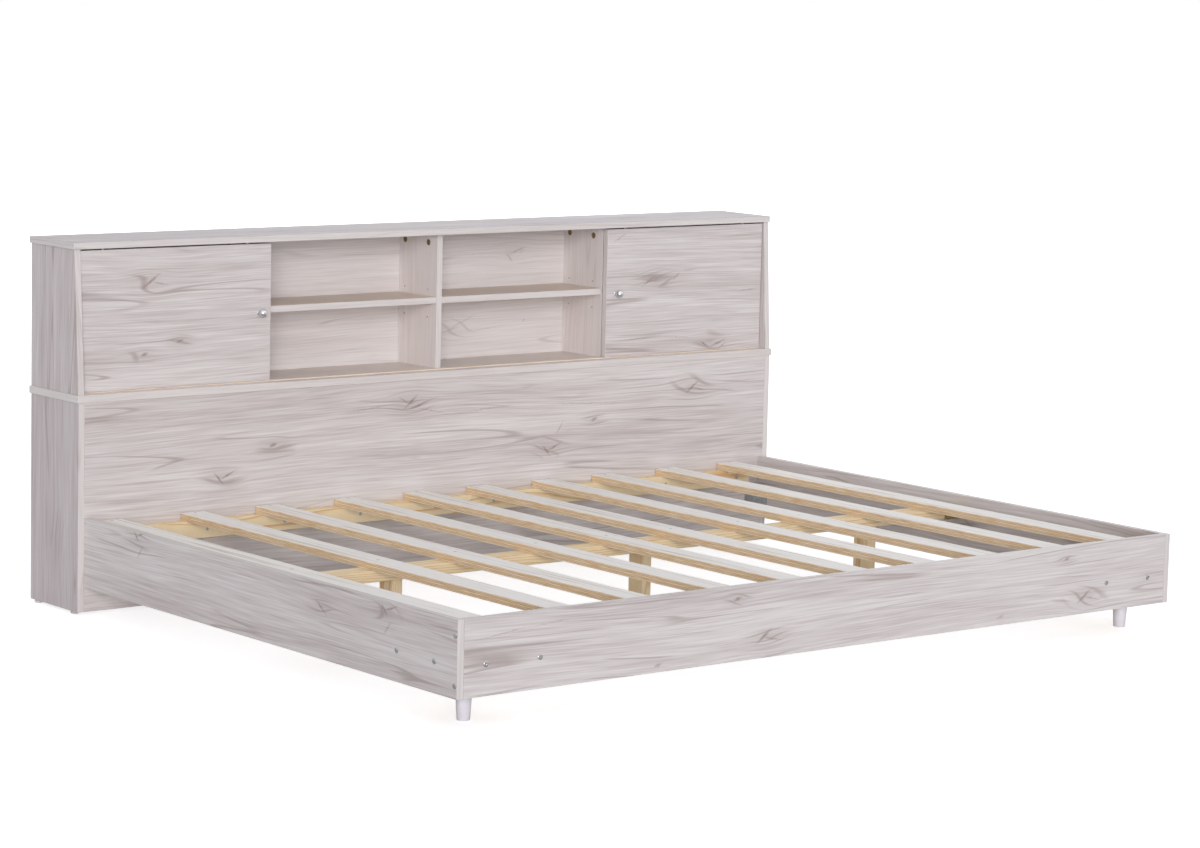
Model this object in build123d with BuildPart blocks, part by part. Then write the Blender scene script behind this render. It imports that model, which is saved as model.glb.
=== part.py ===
from build123d import *
import os

# A daybed made of laminate boards. A low bookcase with two sliding doors stands along the back,
# and a slatted mattress frame is fixed to the bookcase's front panel.
# All sizes are in millimetres. X runs along the bookcase, Y from the foot of the bed to the back, Z up.
# The origin is on the floor, in the middle of the footprint.

# Mattress: a standard full-size mattress lies lengthwise along the bookcase.
MATTRESS_LENGTH = 1905
MATTRESS_WIDTH = 1372
LENGTH_ROOM = 35          # spare length between the side rails
WIDTH_ROOM = 3            # spare width between the bookcase and the front rail

# Boards
BOARD = 15                # rails, sides, dividers, shelves, doors and top
DECK_THICKNESS = 16.5     # the middle shelf that carries the compartments
BACK_THICKNESS = 5        # thin back of the upper compartments
EASE = 0.6                # small chamfer on the banded edges

# Bookcase
CASE_WIDTH = MATTRESS_LENGTH + LENGTH_ROOM + 4 * BOARD      # over the sides
CASE_HEIGHT = 820         # floor to top
CASE_DEPTH = 212          # front panel face to the top panel's back edge
SIDE_DEPTH = 207          # front panel face to the back edge of the sides
DECK_SETBACK = 1          # back edge of the deck, from the top panel's back edge
BACK_RECESS = 8           # front face of the thin back, from the back edge of the sides
OVERHANG = 3              # top panel and deck past the sides
DECK_TOP = 486.5          # height of the deck
GLIDE_HEIGHT = 5          # nail glides under the lower sides
RAKE_TOP = 20             # setback of the upper sides' front edge under the top panel
RAKE_BOTTOM = 1           # setback of the same edge on the deck
TOP_SETBACK = 17          # setback of the top panel's front edge
DIVIDER_SETBACK = 45      # front edge of the dividers, behind the doors
FITTING_COLUMNS = (82, 176)     # setback of the two columns of cams and pin holes
LOWER_COLUMNS = (60, 160)       # the same for the lower sides
DOWEL_COLUMN = 129        # setback of the dowels under the top panel
LOWER_DOWEL_COLUMN = 110  # setback of the dowels under the deck

# Sliding doors
DOOR_SETBACK = 24         # front face of the doors
DOOR_GAP_BELOW = 3        # deck to door
DOOR_GAP_ABOVE = 3.5      # door to top panel
DOOR_END_GAP = 1.5        # door to the bookcase side
DOOR_OVERLAP = 1.75       # door past the inner face of its divider
TRACK_WIDTH = 10          # beech strip let into the deck
TRACK_RISE = 2.5
TRACK_DEPTH = 4
TRACK_GROOVE = 3.2        # slot along the strip for the shoe's fin
GUIDE_GROOVE = 6.4        # groove under the top panel
GUIDE_DEPTH = 6
KNOB_HEIGHT = 644.5
KNOB_INSET = 30           # from the door's inner edge
KNOB_BALL = 19
KNOB_REACH = 23
KNOB_NECK = 7
KNOB_BASE = 12
KNOB_BASE_HEIGHT = 2
KNOB_STUD = 4
KNOB_STUD_LENGTH = 11
RUNNER_INSET = 60         # door's ends to its runners
RUNNER_LENGTH = 30
RUNNER_WIDTH = 8
RUNNER_HEIGHT = 10        # shoe let into the door's bottom edge
FIN_LENGTH = 26           # fin of the shoe in the track's slot
FIN_PLAY = 0.6
FIN_FLOOR_GAP = 0.5
GUIDE_PIN_DEPTH = 12      # guide pin let into the door's top edge
GUIDE_PIN_REACH = 3.5     # guide pin past the underside of the top panel

# Adjustable shelves
SHELF_TOP = 656
SHELF_SETBACK = 46
HOLE_PITCH = 32           # between rows of shelf pin holes
PIN = 5                   # diameter of the shelf pins
PIN_LENGTH = 15
PIN_IN_WALL = 6.5
PIN_BORE = 7              # depth of the pin holes
SHELF_GAP = 1             # both ends together, and behind the shelf

# Bed frame
BED_DEPTH = MATTRESS_WIDTH + WIDTH_ROOM + BOARD   # front panel to the outer face of the front rail
RAIL_BOTTOM = 60
RAIL_HEIGHT = 155
SLAT_TOP = 207
SLAT_THICKNESS = 17
SLAT_WIDTH = 61
SLAT_EASE = 1.5
SLAT_GAP_BACK = 3         # slat end to the front panel
SLAT_GAP_FRONT = 4        # slat end to the front rail
# Slats are laid out by eye, so their spacing varies a little. Centres along X.
SLAT_CENTRES = (-922, -707, -508, -293, -98, 85, 281, 465, 666, 864)
LEDGER_DEPTH = 25
LEDGER_HEIGHT = 40
LEDGER_JOINT = 56         # X where the two lengths of back ledger meet
LEDGER_JOINT_GAP = 1
LEDGER_END = 922          # right end of the back ledger
LEDGER_END_GAP = 2        # ledger end to the side rail
BEAM_WIDTH = 48
BEAM_HEIGHT = 25
BEAM_SETBACK = 727        # front panel face to the beam's centre line
BEAM_END_GAP = 4          # beam end to the end plate of its shoe
LEG_THICKNESS = 25
LEG_SPACING = 673         # centre leg to each outer leg
FOOT_INSET_X = 72         # foot axis from the side rail's outer face
FOOT_INSET_Y = 75         # foot axis from the front rail's outer face
FOOT_HEIGHT = 75
FOOT_BOTTOM = 26          # diameter at the floor
FOOT_TOP = 36             # diameter under the foot plate
FOOT_EASE = 1
PLATE = 150               # square foot plate
PLATE_THICKNESS = 18
CLEAT_THICKNESS = 30
CLEAT_HEIGHT = 55
CLEAT_LENGTH = 220        # front cleat
SIDE_CLEAT_LENGTH = 190

# Hardware
BOLT_HEAD = 12
BOLT_HEAD_RISE = 1.5
BOLT_SOCKET = 4           # hexagon socket over its corners
BOLT = 5                  # shank diameter of bolts and case screws
SCREW = 4                 # shank diameter of wood screws
SCREW_HEAD = 8
SCREW_SLOT = 4.4          # cross slot of the wood screws
SCREW_SLOT_WIDTH = 0.9
SCREW_SLOT_DEPTH = 1.2
HEAD_SINK = 0.3           # wood screw heads below the surface
HEAD_BORE = 2.5           # depth of the bores for the heads
PILOT = 11                # depth of the pilot holes in the boards
RAIL_PILOT = 12           # the same in the side rails
PAN_HEAD_RISE = 2
PAN_HEAD_EASE = 0.8
CAM = 15                  # diameter of a cam lock
CAM_DEPTH = 12.5
CAM_REACH = 22            # board edge to the cam's centre
CAM_SLOT = 7              # cross slot in the cam's face
CAM_SLOT_WIDTH = 1.4
CAM_SLOT_DEPTH = 2.5
CAM_BORE = 7.4            # bore in the cam for the bolt's head
CAM_BOLT_HEAD = 6.8
CAM_BOLT_HEAD_FROM = 1    # cam's centre to the head
CAM_BOLT_HEAD_HEIGHT = 3
CAM_BOLT_TIP_GAP = 0.5
CAM_BOLT_BORE = 8         # bore along the board for the cam bolt
DOWEL = 8
DOWEL_IN_FACE = 10        # dowel length in the board it enters from the face
DOWEL_IN_EDGE = 20        # dowel length in the edge bore
CLEAR = 0.1               # radial clearance of fasteners in their holes
STEEL = 2                 # sheet thickness of the beam shoes
SHOE_SCREW_SPREAD = 14    # end plate screws, each side of the beam's centre line
SHOE_SCREW_SHARE = 0.6    # cheek screws, as a share of the shoe's length
SHOE_LENGTH = 65          # of the beam shoes, along the beam
BRACKET = 40              # leg of the steel angles at the bookcase
BRACKET_STEEL = 3
BRACKET_BOTTOM = 75
BRACKET_HEIGHT = 70
BRACKET_HOLE = 25         # corner to screw
BRACKET_SCREW_HEIGHTS = (92, 128)
STUD = 8                  # diameter of the foot studs
STUD_IN_FOOT = 25
GLIDE = 18                # diameter of the nail glides
GLIDE_INSET = 25          # from the front and back edges of the lower sides
GLIDE_NAIL = 2
GLIDE_NAIL_LENGTH = 15
GLIDE_EASE = 1
CASE_SCREW_HEAD = 3       # height of the heads under the deck
CASE_SCREW_REACH = 33     # into the dividers
BORE_SPARE = 1            # bores past the tips of screws, bolts and studs
CORNER_BOLT_LENGTH = 50
CORNER_BOLT_HEIGHTS = (RAIL_BOTTOM + 26, RAIL_BOTTOM + 124)
CLEAT_BOLT_LENGTH = 40
CLEAT_BOLT_HEIGHT = RAIL_BOTTOM + 63
CLEAT_BOLT_REACH = (75, 200)      # from the front rail's outer face, on the side rails
FRONT_BOLT_REACH = (68, 199)      # from the side rails' outer faces, on the front rail
SLAT_SCREW_LENGTH = 36
SLAT_SCREW_SETBACK = 14   # from the front panel and from the front rail
LEDGER_SCREW_LENGTH = 35
LEG_SCREW_LENGTH = 60
LEG_SCREW_SPREAD = 12     # each side of the beam's centre line
PAN_SCREW_LENGTH = 13
BACK_LEDGER_SCREWS = {"left": [-890, -682, -474, -265, -50], "right": [120, 400, 650, 880]}
FRONT_LEDGER_SCREWS = (-800, -400, 0, 400, 800)
SIDE_CLEAT_SCREWS = (50, 100)     # from the side cleat's front end
FRONT_CLEAT_SCREWS = (40, 120)    # from the side rail's inner face
FRONT_DOWEL_PLACES = (-800, -400, 0, 400, 800)
FRONT_DOWEL_HEIGHT = 240
FRONT_CAM_HEIGHTS = (100, 380)

# Places worked out from the sizes above
front_y = -(BED_DEPTH + CASE_DEPTH - BOLT_HEAD_RISE) / 2
panel_y = front_y + BED_DEPTH
case_back = panel_y + CASE_DEPTH
side_back = panel_y + SIDE_DEPTH
side_out = CASE_WIDTH / 2
rail_out = side_out - BOARD
rail_in = rail_out - BOARD
top_under = CASE_HEIGHT - BOARD
deck_under = DECK_TOP - DECK_THICKNESS
back_face = side_back - BACK_RECESS
divider_front = panel_y + DIVIDER_SETBACK
divider_pitch = (2 * rail_out + BOARD) / 4
divider_places = {"left": -divider_pitch, "centre": 0, "right": divider_pitch}
side_centre = side_out - BOARD / 2
upright_centres = [-side_centre, -divider_pitch, 0, divider_pitch, side_centre]
columns = [panel_y + setback for setback in FITTING_COLUMNS]
lower_columns = [panel_y + setback for setback in LOWER_COLUMNS]
dowel_y = panel_y + DOWEL_COLUMN
lower_dowel_y = panel_y + LOWER_DOWEL_COLUMN
glide_ys = (panel_y + GLIDE_INSET, side_back - GLIDE_INSET)
cam_z = top_under - CAM_REACH
shelf_under = SHELF_TOP - BOARD
pin_z = shelf_under - PIN / 2
slat_under = SLAT_TOP - SLAT_THICKNESS
door_front = panel_y + DOOR_SETBACK
track_y = door_front + BOARD / 2
door_bottom = DECK_TOP + DOOR_GAP_BELOW
door_top = top_under - DOOR_GAP_ABOVE
door_inner = divider_pitch - BOARD / 2 - DOOR_OVERLAP
door_outer = rail_out - DOOR_END_GAP
beam_y = panel_y - BEAM_SETBACK
beam_under = slat_under - BEAM_HEIGHT
plate_under = FOOT_HEIGHT
cleat_under = plate_under + PLATE_THICKNESS
foot_x = rail_out - FOOT_INSET_X
foot_y = front_y + FOOT_INSET_Y
rail_inner_y = front_y + BOARD
ledger_under = slat_under - LEDGER_HEIGHT
ledger_screw_z = slat_under - LEDGER_HEIGHT / 2
back_ledger_screws = BACK_LEDGER_SCREWS["left"] + BACK_LEDGER_SCREWS["right"]
shoe_screw_z = beam_under + BEAM_HEIGHT / 2
shoe_screw_ys = (beam_y - SHOE_SCREW_SPREAD, beam_y + SHOE_SCREW_SPREAD)

os.makedirs("parts", exist_ok=True)


# Bookcase top, with the guide groove for the doors and the fitting holes underneath.
with BuildPart() as top_panel:
    with BuildSketch(Plane.XY.offset(top_under)):
        with Locations((0, (panel_y + TOP_SETBACK + case_back) / 2)):
            Rectangle(CASE_WIDTH + 2 * OVERHANG, CASE_DEPTH - TOP_SETBACK)
    extrude(amount=BOARD)
    chamfer(top_panel.edges(), EASE)
    with BuildSketch(Plane.XY.offset(top_under)):
        with Locations((0, track_y)):
            Rectangle(2 * rail_out, GUIDE_GROOVE)
    extrude(amount=GUIDE_DEPTH, mode=Mode.SUBTRACT)
    with BuildSketch(Plane.XY.offset(top_under)):
        with Locations([(x, y) for x in upright_centres for y in columns]):
            Circle(BOLT / 2 + CLEAR)
        with Locations([(x, dowel_y) for x in upright_centres]):
            Circle(DOWEL / 2 + CLEAR)
    extrude(amount=DOWEL_IN_FACE + CLEAR, mode=Mode.SUBTRACT)
top_panel.part.label = "top_panel"
export_step(top_panel.part, "parts/top_panel.step")


# Deck between the two halves of the bookcase, grooved for the door track.
with BuildPart() as deck_panel:
    with BuildSketch(Plane.XY.offset(deck_under)):
        with Locations((0, panel_y + (CASE_DEPTH - DECK_SETBACK - OVERHANG) / 2)):
            Rectangle(CASE_WIDTH + 2 * OVERHANG, CASE_DEPTH - DECK_SETBACK + OVERHANG)
    extrude(amount=DECK_THICKNESS)
    chamfer(deck_panel.edges(), EASE)
    with BuildSketch(Plane.XY.offset(DECK_TOP)):
        with Locations((0, track_y)):
            Rectangle(2 * rail_out, TRACK_WIDTH)
    extrude(amount=-TRACK_DEPTH, mode=Mode.SUBTRACT)
    with BuildSketch(Plane.XY.offset(DECK_TOP)):
        with Locations([(x, y) for x in (-side_centre, side_centre) for y in columns]):
            Circle(BOLT / 2 + CLEAR)
    extrude(amount=-DOWEL_IN_FACE, mode=Mode.SUBTRACT)
    with BuildSketch(Plane.XY.offset(deck_under)):
        with Locations([(x, y) for x in (-side_centre, side_centre) for y in lower_columns]):
            Circle(BOLT / 2 + CLEAR)
        with Locations([(x, lower_dowel_y) for x in (-side_centre, side_centre)]):
            Circle(DOWEL / 2 + CLEAR)
        with Locations([(x, panel_y + BOARD / 2) for x in FRONT_DOWEL_PLACES]):
            Circle(DOWEL / 2 + CLEAR)
    extrude(amount=DOWEL_IN_FACE + CLEAR, mode=Mode.SUBTRACT)
    with BuildSketch(Plane.XY.offset(deck_under)):
        with Locations([(x, y) for x in divider_places.values() for y in columns]):
            Circle(BOLT / 2 + CLEAR)
    extrude(amount=DECK_THICKNESS, mode=Mode.SUBTRACT)
    with BuildSketch(Plane.XY.offset(deck_under)):
        with Locations([(x, y) for x in divider_places.values() for y in columns]):
            Circle(BOLT + CLEAR)
    extrude(amount=CASE_SCREW_HEAD + CLEAR, mode=Mode.SUBTRACT)
deck_panel.part.label = "deck_panel"
export_step(deck_panel.part, "parts/deck_panel.step")


# Upper sides, with a raked front edge. Cams at the top and bottom of the inner face.
for name, hand in (("left", -1), ("right", 1)):
    with BuildPart() as upper_side:
        with BuildSketch(Plane.YZ.offset(hand * side_centre - BOARD / 2)):
            with BuildLine():
                Polyline(
                    (panel_y + RAKE_BOTTOM, DECK_TOP),
                    (side_back, DECK_TOP),
                    (side_back, top_under),
                    (panel_y + RAKE_TOP, top_under),
                    close=True,
                )
            make_face()
        extrude(amount=BOARD)
        chamfer(upper_side.edges(), EASE)
        with BuildSketch(Plane.YZ.offset(hand * rail_out)):
            with Locations([(y, z) for y in columns for z in (DECK_TOP + CAM_REACH, cam_z)]):
                Circle(CAM / 2 + CLEAR)
        extrude(amount=hand * (CAM_DEPTH + CLEAR), mode=Mode.SUBTRACT)
        for z, run in ((DECK_TOP, CAM_REACH), (top_under, -CAM_REACH)):
            with BuildSketch(Plane.XY.offset(z)):
                with Locations([(hand * side_centre, y) for y in columns]):
                    Circle(CAM_BOLT_BORE / 2)
            extrude(amount=run, mode=Mode.SUBTRACT)
        with BuildSketch(Plane.XY.offset(top_under)):
            with Locations((hand * side_centre, dowel_y)):
                Circle(DOWEL / 2 + CLEAR)
        extrude(amount=-DOWEL_IN_EDGE - CLEAR, mode=Mode.SUBTRACT)
    upper_side.part.label = f"upper_side_{name}"
    export_step(upper_side.part, f"parts/upper_side_{name}.step")


# Lower sides, standing on nail glides. The deck and the front panel are pulled to them with cams.
for name, hand in (("left", -1), ("right", 1)):
    with BuildPart() as lower_side:
        with BuildSketch(Plane.XY.offset(GLIDE_HEIGHT)):
            with Locations((hand * side_centre, panel_y + SIDE_DEPTH / 2)):
                Rectangle(BOARD, SIDE_DEPTH)
        extrude(amount=deck_under - GLIDE_HEIGHT)
        chamfer(lower_side.edges(), EASE)
        with BuildSketch(Plane.YZ.offset(hand * rail_out)):
            with Locations([(y, deck_under - CAM_REACH) for y in lower_columns]):
                Circle(CAM / 2 + CLEAR)
        extrude(amount=hand * (CAM_DEPTH + CLEAR), mode=Mode.SUBTRACT)
        with BuildSketch(Plane.XY.offset(deck_under)):
            with Locations([(hand * side_centre, y) for y in lower_columns]):
                Circle(CAM_BOLT_BORE / 2)
        extrude(amount=-CAM_REACH, mode=Mode.SUBTRACT)
        with BuildSketch(Plane.XY.offset(deck_under)):
            with Locations((hand * side_centre, lower_dowel_y)):
                Circle(DOWEL / 2 + CLEAR)
        extrude(amount=-DOWEL_IN_EDGE - CLEAR, mode=Mode.SUBTRACT)
        with BuildSketch(Plane.YZ.offset(hand * rail_out)):
            with Locations([(panel_y + BOARD / 2, z) for z in FRONT_CAM_HEIGHTS]):
                Circle(BOLT / 2 + CLEAR)
            with Locations((panel_y + BOARD / 2, FRONT_DOWEL_HEIGHT)):
                Circle(DOWEL / 2 + CLEAR)
        extrude(amount=hand * (DOWEL_IN_FACE + CLEAR), mode=Mode.SUBTRACT)
        with BuildSketch(Plane.XY.offset(GLIDE_HEIGHT)):
            with Locations([(hand * side_centre, y) for y in glide_ys]):
                Circle(GLIDE_NAIL / 2 + CLEAR)
        extrude(amount=GLIDE_NAIL_LENGTH + CLEAR, mode=Mode.SUBTRACT)
    lower_side.part.label = f"lower_side_{name}"
    export_step(lower_side.part, f"parts/lower_side_{name}.step")


# Dividers between the four bays. Cams sit in the left face, pin holes face the open bays.
for name, x in divider_places.items():
    with BuildPart() as divider:
        with BuildSketch(Plane.XY.offset(DECK_TOP)):
            with Locations((x, (divider_front + back_face) / 2)):
                Rectangle(BOARD, back_face - divider_front)
        extrude(amount=top_under - DECK_TOP)
        chamfer(divider.edges(), EASE)
        with BuildSketch(Plane.YZ.offset(x - BOARD / 2)):
            with Locations([(y, cam_z) for y in columns]):
                Circle(CAM / 2 + CLEAR)
        extrude(amount=CAM_DEPTH + CLEAR, mode=Mode.SUBTRACT)
        with BuildSketch(Plane.XY.offset(top_under)):
            with Locations([(x, y) for y in columns]):
                Circle(CAM_BOLT_BORE / 2)
        extrude(amount=-CAM_REACH, mode=Mode.SUBTRACT)
        with BuildSketch(Plane.XY.offset(top_under)):
            with Locations((x, dowel_y)):
                Circle(DOWEL / 2 + CLEAR)
        extrude(amount=-DOWEL_IN_EDGE - CLEAR, mode=Mode.SUBTRACT)
        with BuildSketch(Plane.XY.offset(DECK_TOP)):
            with Locations([(x, y) for y in columns]):
                Circle(BOLT / 2 + CLEAR)
        extrude(amount=CASE_SCREW_REACH + BORE_SPARE, mode=Mode.SUBTRACT)
        for face in (-1, 1):
            if face * x <= 0:
                with BuildSketch(Plane.YZ.offset(x + face * BOARD / 2)):
                    rows = (pin_z - HOLE_PITCH, pin_z, pin_z + HOLE_PITCH)
                    with Locations([(y, z) for y in columns for z in rows]):
                        Circle(PIN / 2 + CLEAR)
                extrude(amount=-face * PIN_BORE, mode=Mode.SUBTRACT)
    divider.part.label = f"divider_{name}"
    export_step(divider.part, f"parts/divider_{name}.step")


# Thin back of the upper compartments, set between the sides behind the dividers.
with BuildPart() as upper_back_panel:
    with BuildSketch(Plane.XY.offset(DECK_TOP)):
        with Locations((0, back_face + BACK_THICKNESS / 2)):
            Rectangle(2 * rail_out, BACK_THICKNESS)
    extrude(amount=top_under - DECK_TOP)
upper_back_panel.part.label = "upper_back_panel"
export_step(upper_back_panel.part, "parts/upper_back_panel.step")


# Front panel of the lower half, behind the mattress. Cams are let into its back face.
with BuildPart() as lower_front_panel:
    with BuildSketch(Plane.XY.offset(GLIDE_HEIGHT)):
        with Locations((0, panel_y + BOARD / 2)):
            Rectangle(2 * rail_out, BOARD)
    extrude(amount=deck_under - GLIDE_HEIGHT)
    chamfer(lower_front_panel.edges(), EASE)
    cam_x = rail_out - CAM_REACH
    with BuildSketch(Plane.XZ.offset(-panel_y - BOARD)):
        with Locations([(x, z) for x in (-cam_x, cam_x) for z in FRONT_CAM_HEIGHTS]):
            Circle(CAM / 2 + CLEAR)
    extrude(amount=CAM_DEPTH + CLEAR, mode=Mode.SUBTRACT)
    for hand in (-1, 1):
        with BuildSketch(Plane.YZ.offset(hand * rail_out)):
            with Locations([(panel_y + BOARD / 2, z) for z in FRONT_CAM_HEIGHTS]):
                Circle(CAM_BOLT_BORE / 2)
        extrude(amount=-hand * CAM_REACH, mode=Mode.SUBTRACT)
        with BuildSketch(Plane.YZ.offset(hand * rail_out)):
            with Locations((panel_y + BOARD / 2, FRONT_DOWEL_HEIGHT)):
                Circle(DOWEL / 2 + CLEAR)
        extrude(amount=-hand * (DOWEL_IN_EDGE + CLEAR), mode=Mode.SUBTRACT)
    with BuildSketch(Plane.XY.offset(deck_under)):
        with Locations([(x, panel_y + BOARD / 2) for x in FRONT_DOWEL_PLACES]):
            Circle(DOWEL / 2 + CLEAR)
    extrude(amount=-DOWEL_IN_EDGE - CLEAR, mode=Mode.SUBTRACT)
    with BuildSketch(Plane.XZ.offset(-panel_y)):
        with Locations([(x, ledger_screw_z) for x in back_ledger_screws]):
            Circle(SCREW / 2 + CLEAR)
        bracket_screw_x = rail_in - BRACKET_HOLE
        with Locations([(x, z) for x in (-bracket_screw_x, bracket_screw_x) for z in BRACKET_SCREW_HEIGHTS]):
            Circle(SCREW / 2 + CLEAR)
    extrude(amount=-PILOT, mode=Mode.SUBTRACT)
lower_front_panel.part.label = "lower_front_panel"
export_step(lower_front_panel.part, "parts/lower_front_panel.step")


# Shelves of the two open bays, lying on four pins each.
bays = (
    ("left", divider_places["left"] + BOARD / 2, -BOARD / 2),
    ("right", BOARD / 2, divider_places["right"] - BOARD / 2),
)
shelf_front = panel_y + SHELF_SETBACK
shelf_back = back_face - SHELF_GAP
for name, bay_left, bay_right in bays:
    with BuildPart() as shelf:
        with BuildSketch(Plane.XY.offset(shelf_under)):
            with Locations(((bay_left + bay_right) / 2, (shelf_front + shelf_back) / 2)):
                Rectangle(bay_right - bay_left - SHELF_GAP, shelf_back - shelf_front)
        extrude(amount=BOARD)
        chamfer(shelf.edges(), EASE)
    shelf.part.label = f"shelf_{name}"
    export_step(shelf.part, f"parts/shelf_{name}.step")

with BuildPart() as shelf_pins:
    for name, bay_left, bay_right in bays:
        for wall, inward in ((bay_left, 1), (bay_right, -1)):
            with BuildSketch(Plane.YZ.offset(wall - inward * PIN_IN_WALL)):
                with Locations([(y, pin_z) for y in columns]):
                    Circle(PIN / 2)
            extrude(amount=inward * PIN_LENGTH)
shelf_pins.part.label = "shelf_pins"
export_step(shelf_pins.part, "parts/shelf_pins.step")


# Track strip in the deck, with a slot along its top for the fins of the door shoes.
with BuildPart() as door_track:
    with BuildSketch(Plane.XY.offset(DECK_TOP - TRACK_DEPTH)):
        with Locations((0, track_y)):
            Rectangle(2 * rail_out, TRACK_WIDTH)
    extrude(amount=TRACK_DEPTH + TRACK_RISE)
    with BuildSketch(Plane.XY.offset(DECK_TOP + TRACK_RISE)):
        with Locations((0, track_y)):
            Rectangle(2 * rail_out, TRACK_GROOVE)
    extrude(amount=-TRACK_DEPTH, mode=Mode.SUBTRACT)
door_track.part.label = "door_track"
export_step(door_track.part, "parts/door_track.step")


# Sliding doors with their ball knobs and nylon runners. Each runner set is two shoes in the bottom
# edge, whose fins run in the track, and two pins in the top edge, which run in the guide groove.
shoe_top = door_bottom + RUNNER_HEIGHT
shoe_rest = DECK_TOP + TRACK_RISE + CLEAR
for name, hand in (("left", -1), ("right", 1)):
    door_x = hand * (door_inner + door_outer) / 2
    runner_xs = (hand * (door_inner + RUNNER_INSET), hand * (door_outer - RUNNER_INSET))
    runner_places = [(x, track_y) for x in runner_xs]
    with BuildPart() as door:
        with BuildSketch(Plane.XY.offset(door_bottom)):
            with Locations((door_x, track_y)):
                Rectangle(door_outer - door_inner, BOARD)
        extrude(amount=door_top - door_bottom)
        chamfer(door.edges(), EASE)
        with BuildSketch(Plane.XY.offset(door_bottom)):
            with Locations(runner_places):
                Rectangle(RUNNER_LENGTH, RUNNER_WIDTH)
        extrude(amount=shoe_top - door_bottom, mode=Mode.SUBTRACT)
        with BuildSketch(Plane.XY.offset(door_top)):
            with Locations(runner_places):
                Circle(PIN / 2 + CLEAR)
        extrude(amount=-GUIDE_PIN_DEPTH, mode=Mode.SUBTRACT)
        with BuildSketch(Plane.XZ.offset(-door_front)):
            with Locations((hand * (door_inner + KNOB_INSET), KNOB_HEIGHT)):
                Circle(KNOB_STUD / 2 + CLEAR)
        extrude(amount=-KNOB_STUD_LENGTH - BORE_SPARE, mode=Mode.SUBTRACT)
    door.part.label = f"door_{name}"
    export_step(door.part, f"parts/door_{name}.step")

    with BuildPart() as runners:
        with BuildSketch(Plane.XY.offset(shoe_rest)):
            with Locations(runner_places):
                Rectangle(RUNNER_LENGTH - 2 * CLEAR, RUNNER_WIDTH - 2 * CLEAR)
        extrude(amount=shoe_top - CLEAR - shoe_rest)
        with BuildSketch(Plane.XY.offset(shoe_rest)):
            with Locations(runner_places):
                Rectangle(FIN_LENGTH, TRACK_GROOVE - FIN_PLAY)
        extrude(amount=-TRACK_DEPTH + FIN_FLOOR_GAP)
        with BuildSketch(Plane.XY.offset(door_top - GUIDE_PIN_DEPTH + CLEAR)):
            with Locations(runner_places):
                Circle(PIN / 2)
        extrude(amount=GUIDE_PIN_DEPTH + DOOR_GAP_ABOVE + GUIDE_PIN_REACH)
    runners.part.label = f"door_runners_{name}"
    export_step(runners.part, f"parts/door_runners_{name}.step")

    # The knob is turned in one piece with its stud: a small base, a neck and a ball.
    knob_x = hand * (door_inner + KNOB_INSET)
    ball = KNOB_BALL / 2
    ball_y = door_front - KNOB_REACH + ball
    with BuildPart() as knob:
        with BuildSketch(Plane.XY.offset(KNOB_HEIGHT)) as knob_profile:
            with Locations((knob_x, ball_y)):
                Circle(ball)
            with Locations((knob_x, (ball_y + door_front) / 2)):
                Rectangle(KNOB_NECK, door_front - ball_y)
            with Locations((knob_x, door_front - KNOB_BASE_HEIGHT / 2)):
                Rectangle(KNOB_BASE, KNOB_BASE_HEIGHT)
            with Locations((knob_x, door_front + KNOB_STUD_LENGTH / 2)):
                Rectangle(KNOB_STUD, KNOB_STUD_LENGTH)
            with Locations((knob_x + KNOB_BALL, ball_y)):
                Rectangle(2 * KNOB_BALL, 4 * KNOB_REACH, mode=Mode.SUBTRACT)
        revolve(axis=Axis((knob_x, ball_y, KNOB_HEIGHT), (0, 1, 0)), revolution_arc=360)
    knob.part.label = f"knob_{name}"
    export_step(knob.part, f"parts/knob_{name}.step")


# Cam locks: a disc with a cross slot in its face and a bore that takes the head of the cam bolt.
# This one lies at the origin, its face towards -X and its bolt coming down from +Z.
with BuildPart() as one_cam:
    with BuildSketch(Plane.YZ):
        Circle(CAM / 2)
    extrude(amount=CAM_DEPTH)
    with BuildSketch(Plane.YZ):
        Rectangle(CAM_SLOT, CAM_SLOT_WIDTH)
        Rectangle(CAM_SLOT_WIDTH, CAM_SLOT)
    extrude(amount=CAM_SLOT_DEPTH, mode=Mode.SUBTRACT)
    with BuildSketch(Plane.XY):
        with Locations((BOARD / 2, 0)):
            Circle(CAM_BORE / 2)
    extrude(amount=CAM, mode=Mode.SUBTRACT)

# Cam bolt: thread at the top, shank, and a round head at the cam's centre.
with BuildPart() as one_cam_bolt:
    with BuildSketch(Plane.XY.offset(CAM_BOLT_HEAD_FROM)):
        Circle(CAM_BOLT_HEAD / 2)
    extrude(amount=CAM_BOLT_HEAD_HEIGHT)
    shank_from = CAM_BOLT_HEAD_FROM + CAM_BOLT_HEAD_HEIGHT
    with BuildSketch(Plane.XY.offset(shank_from)):
        Circle(BOLT / 2)
    extrude(amount=CAM_REACH - shank_from + DOWEL_IN_FACE - CAM_BOLT_TIP_GAP)

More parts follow.
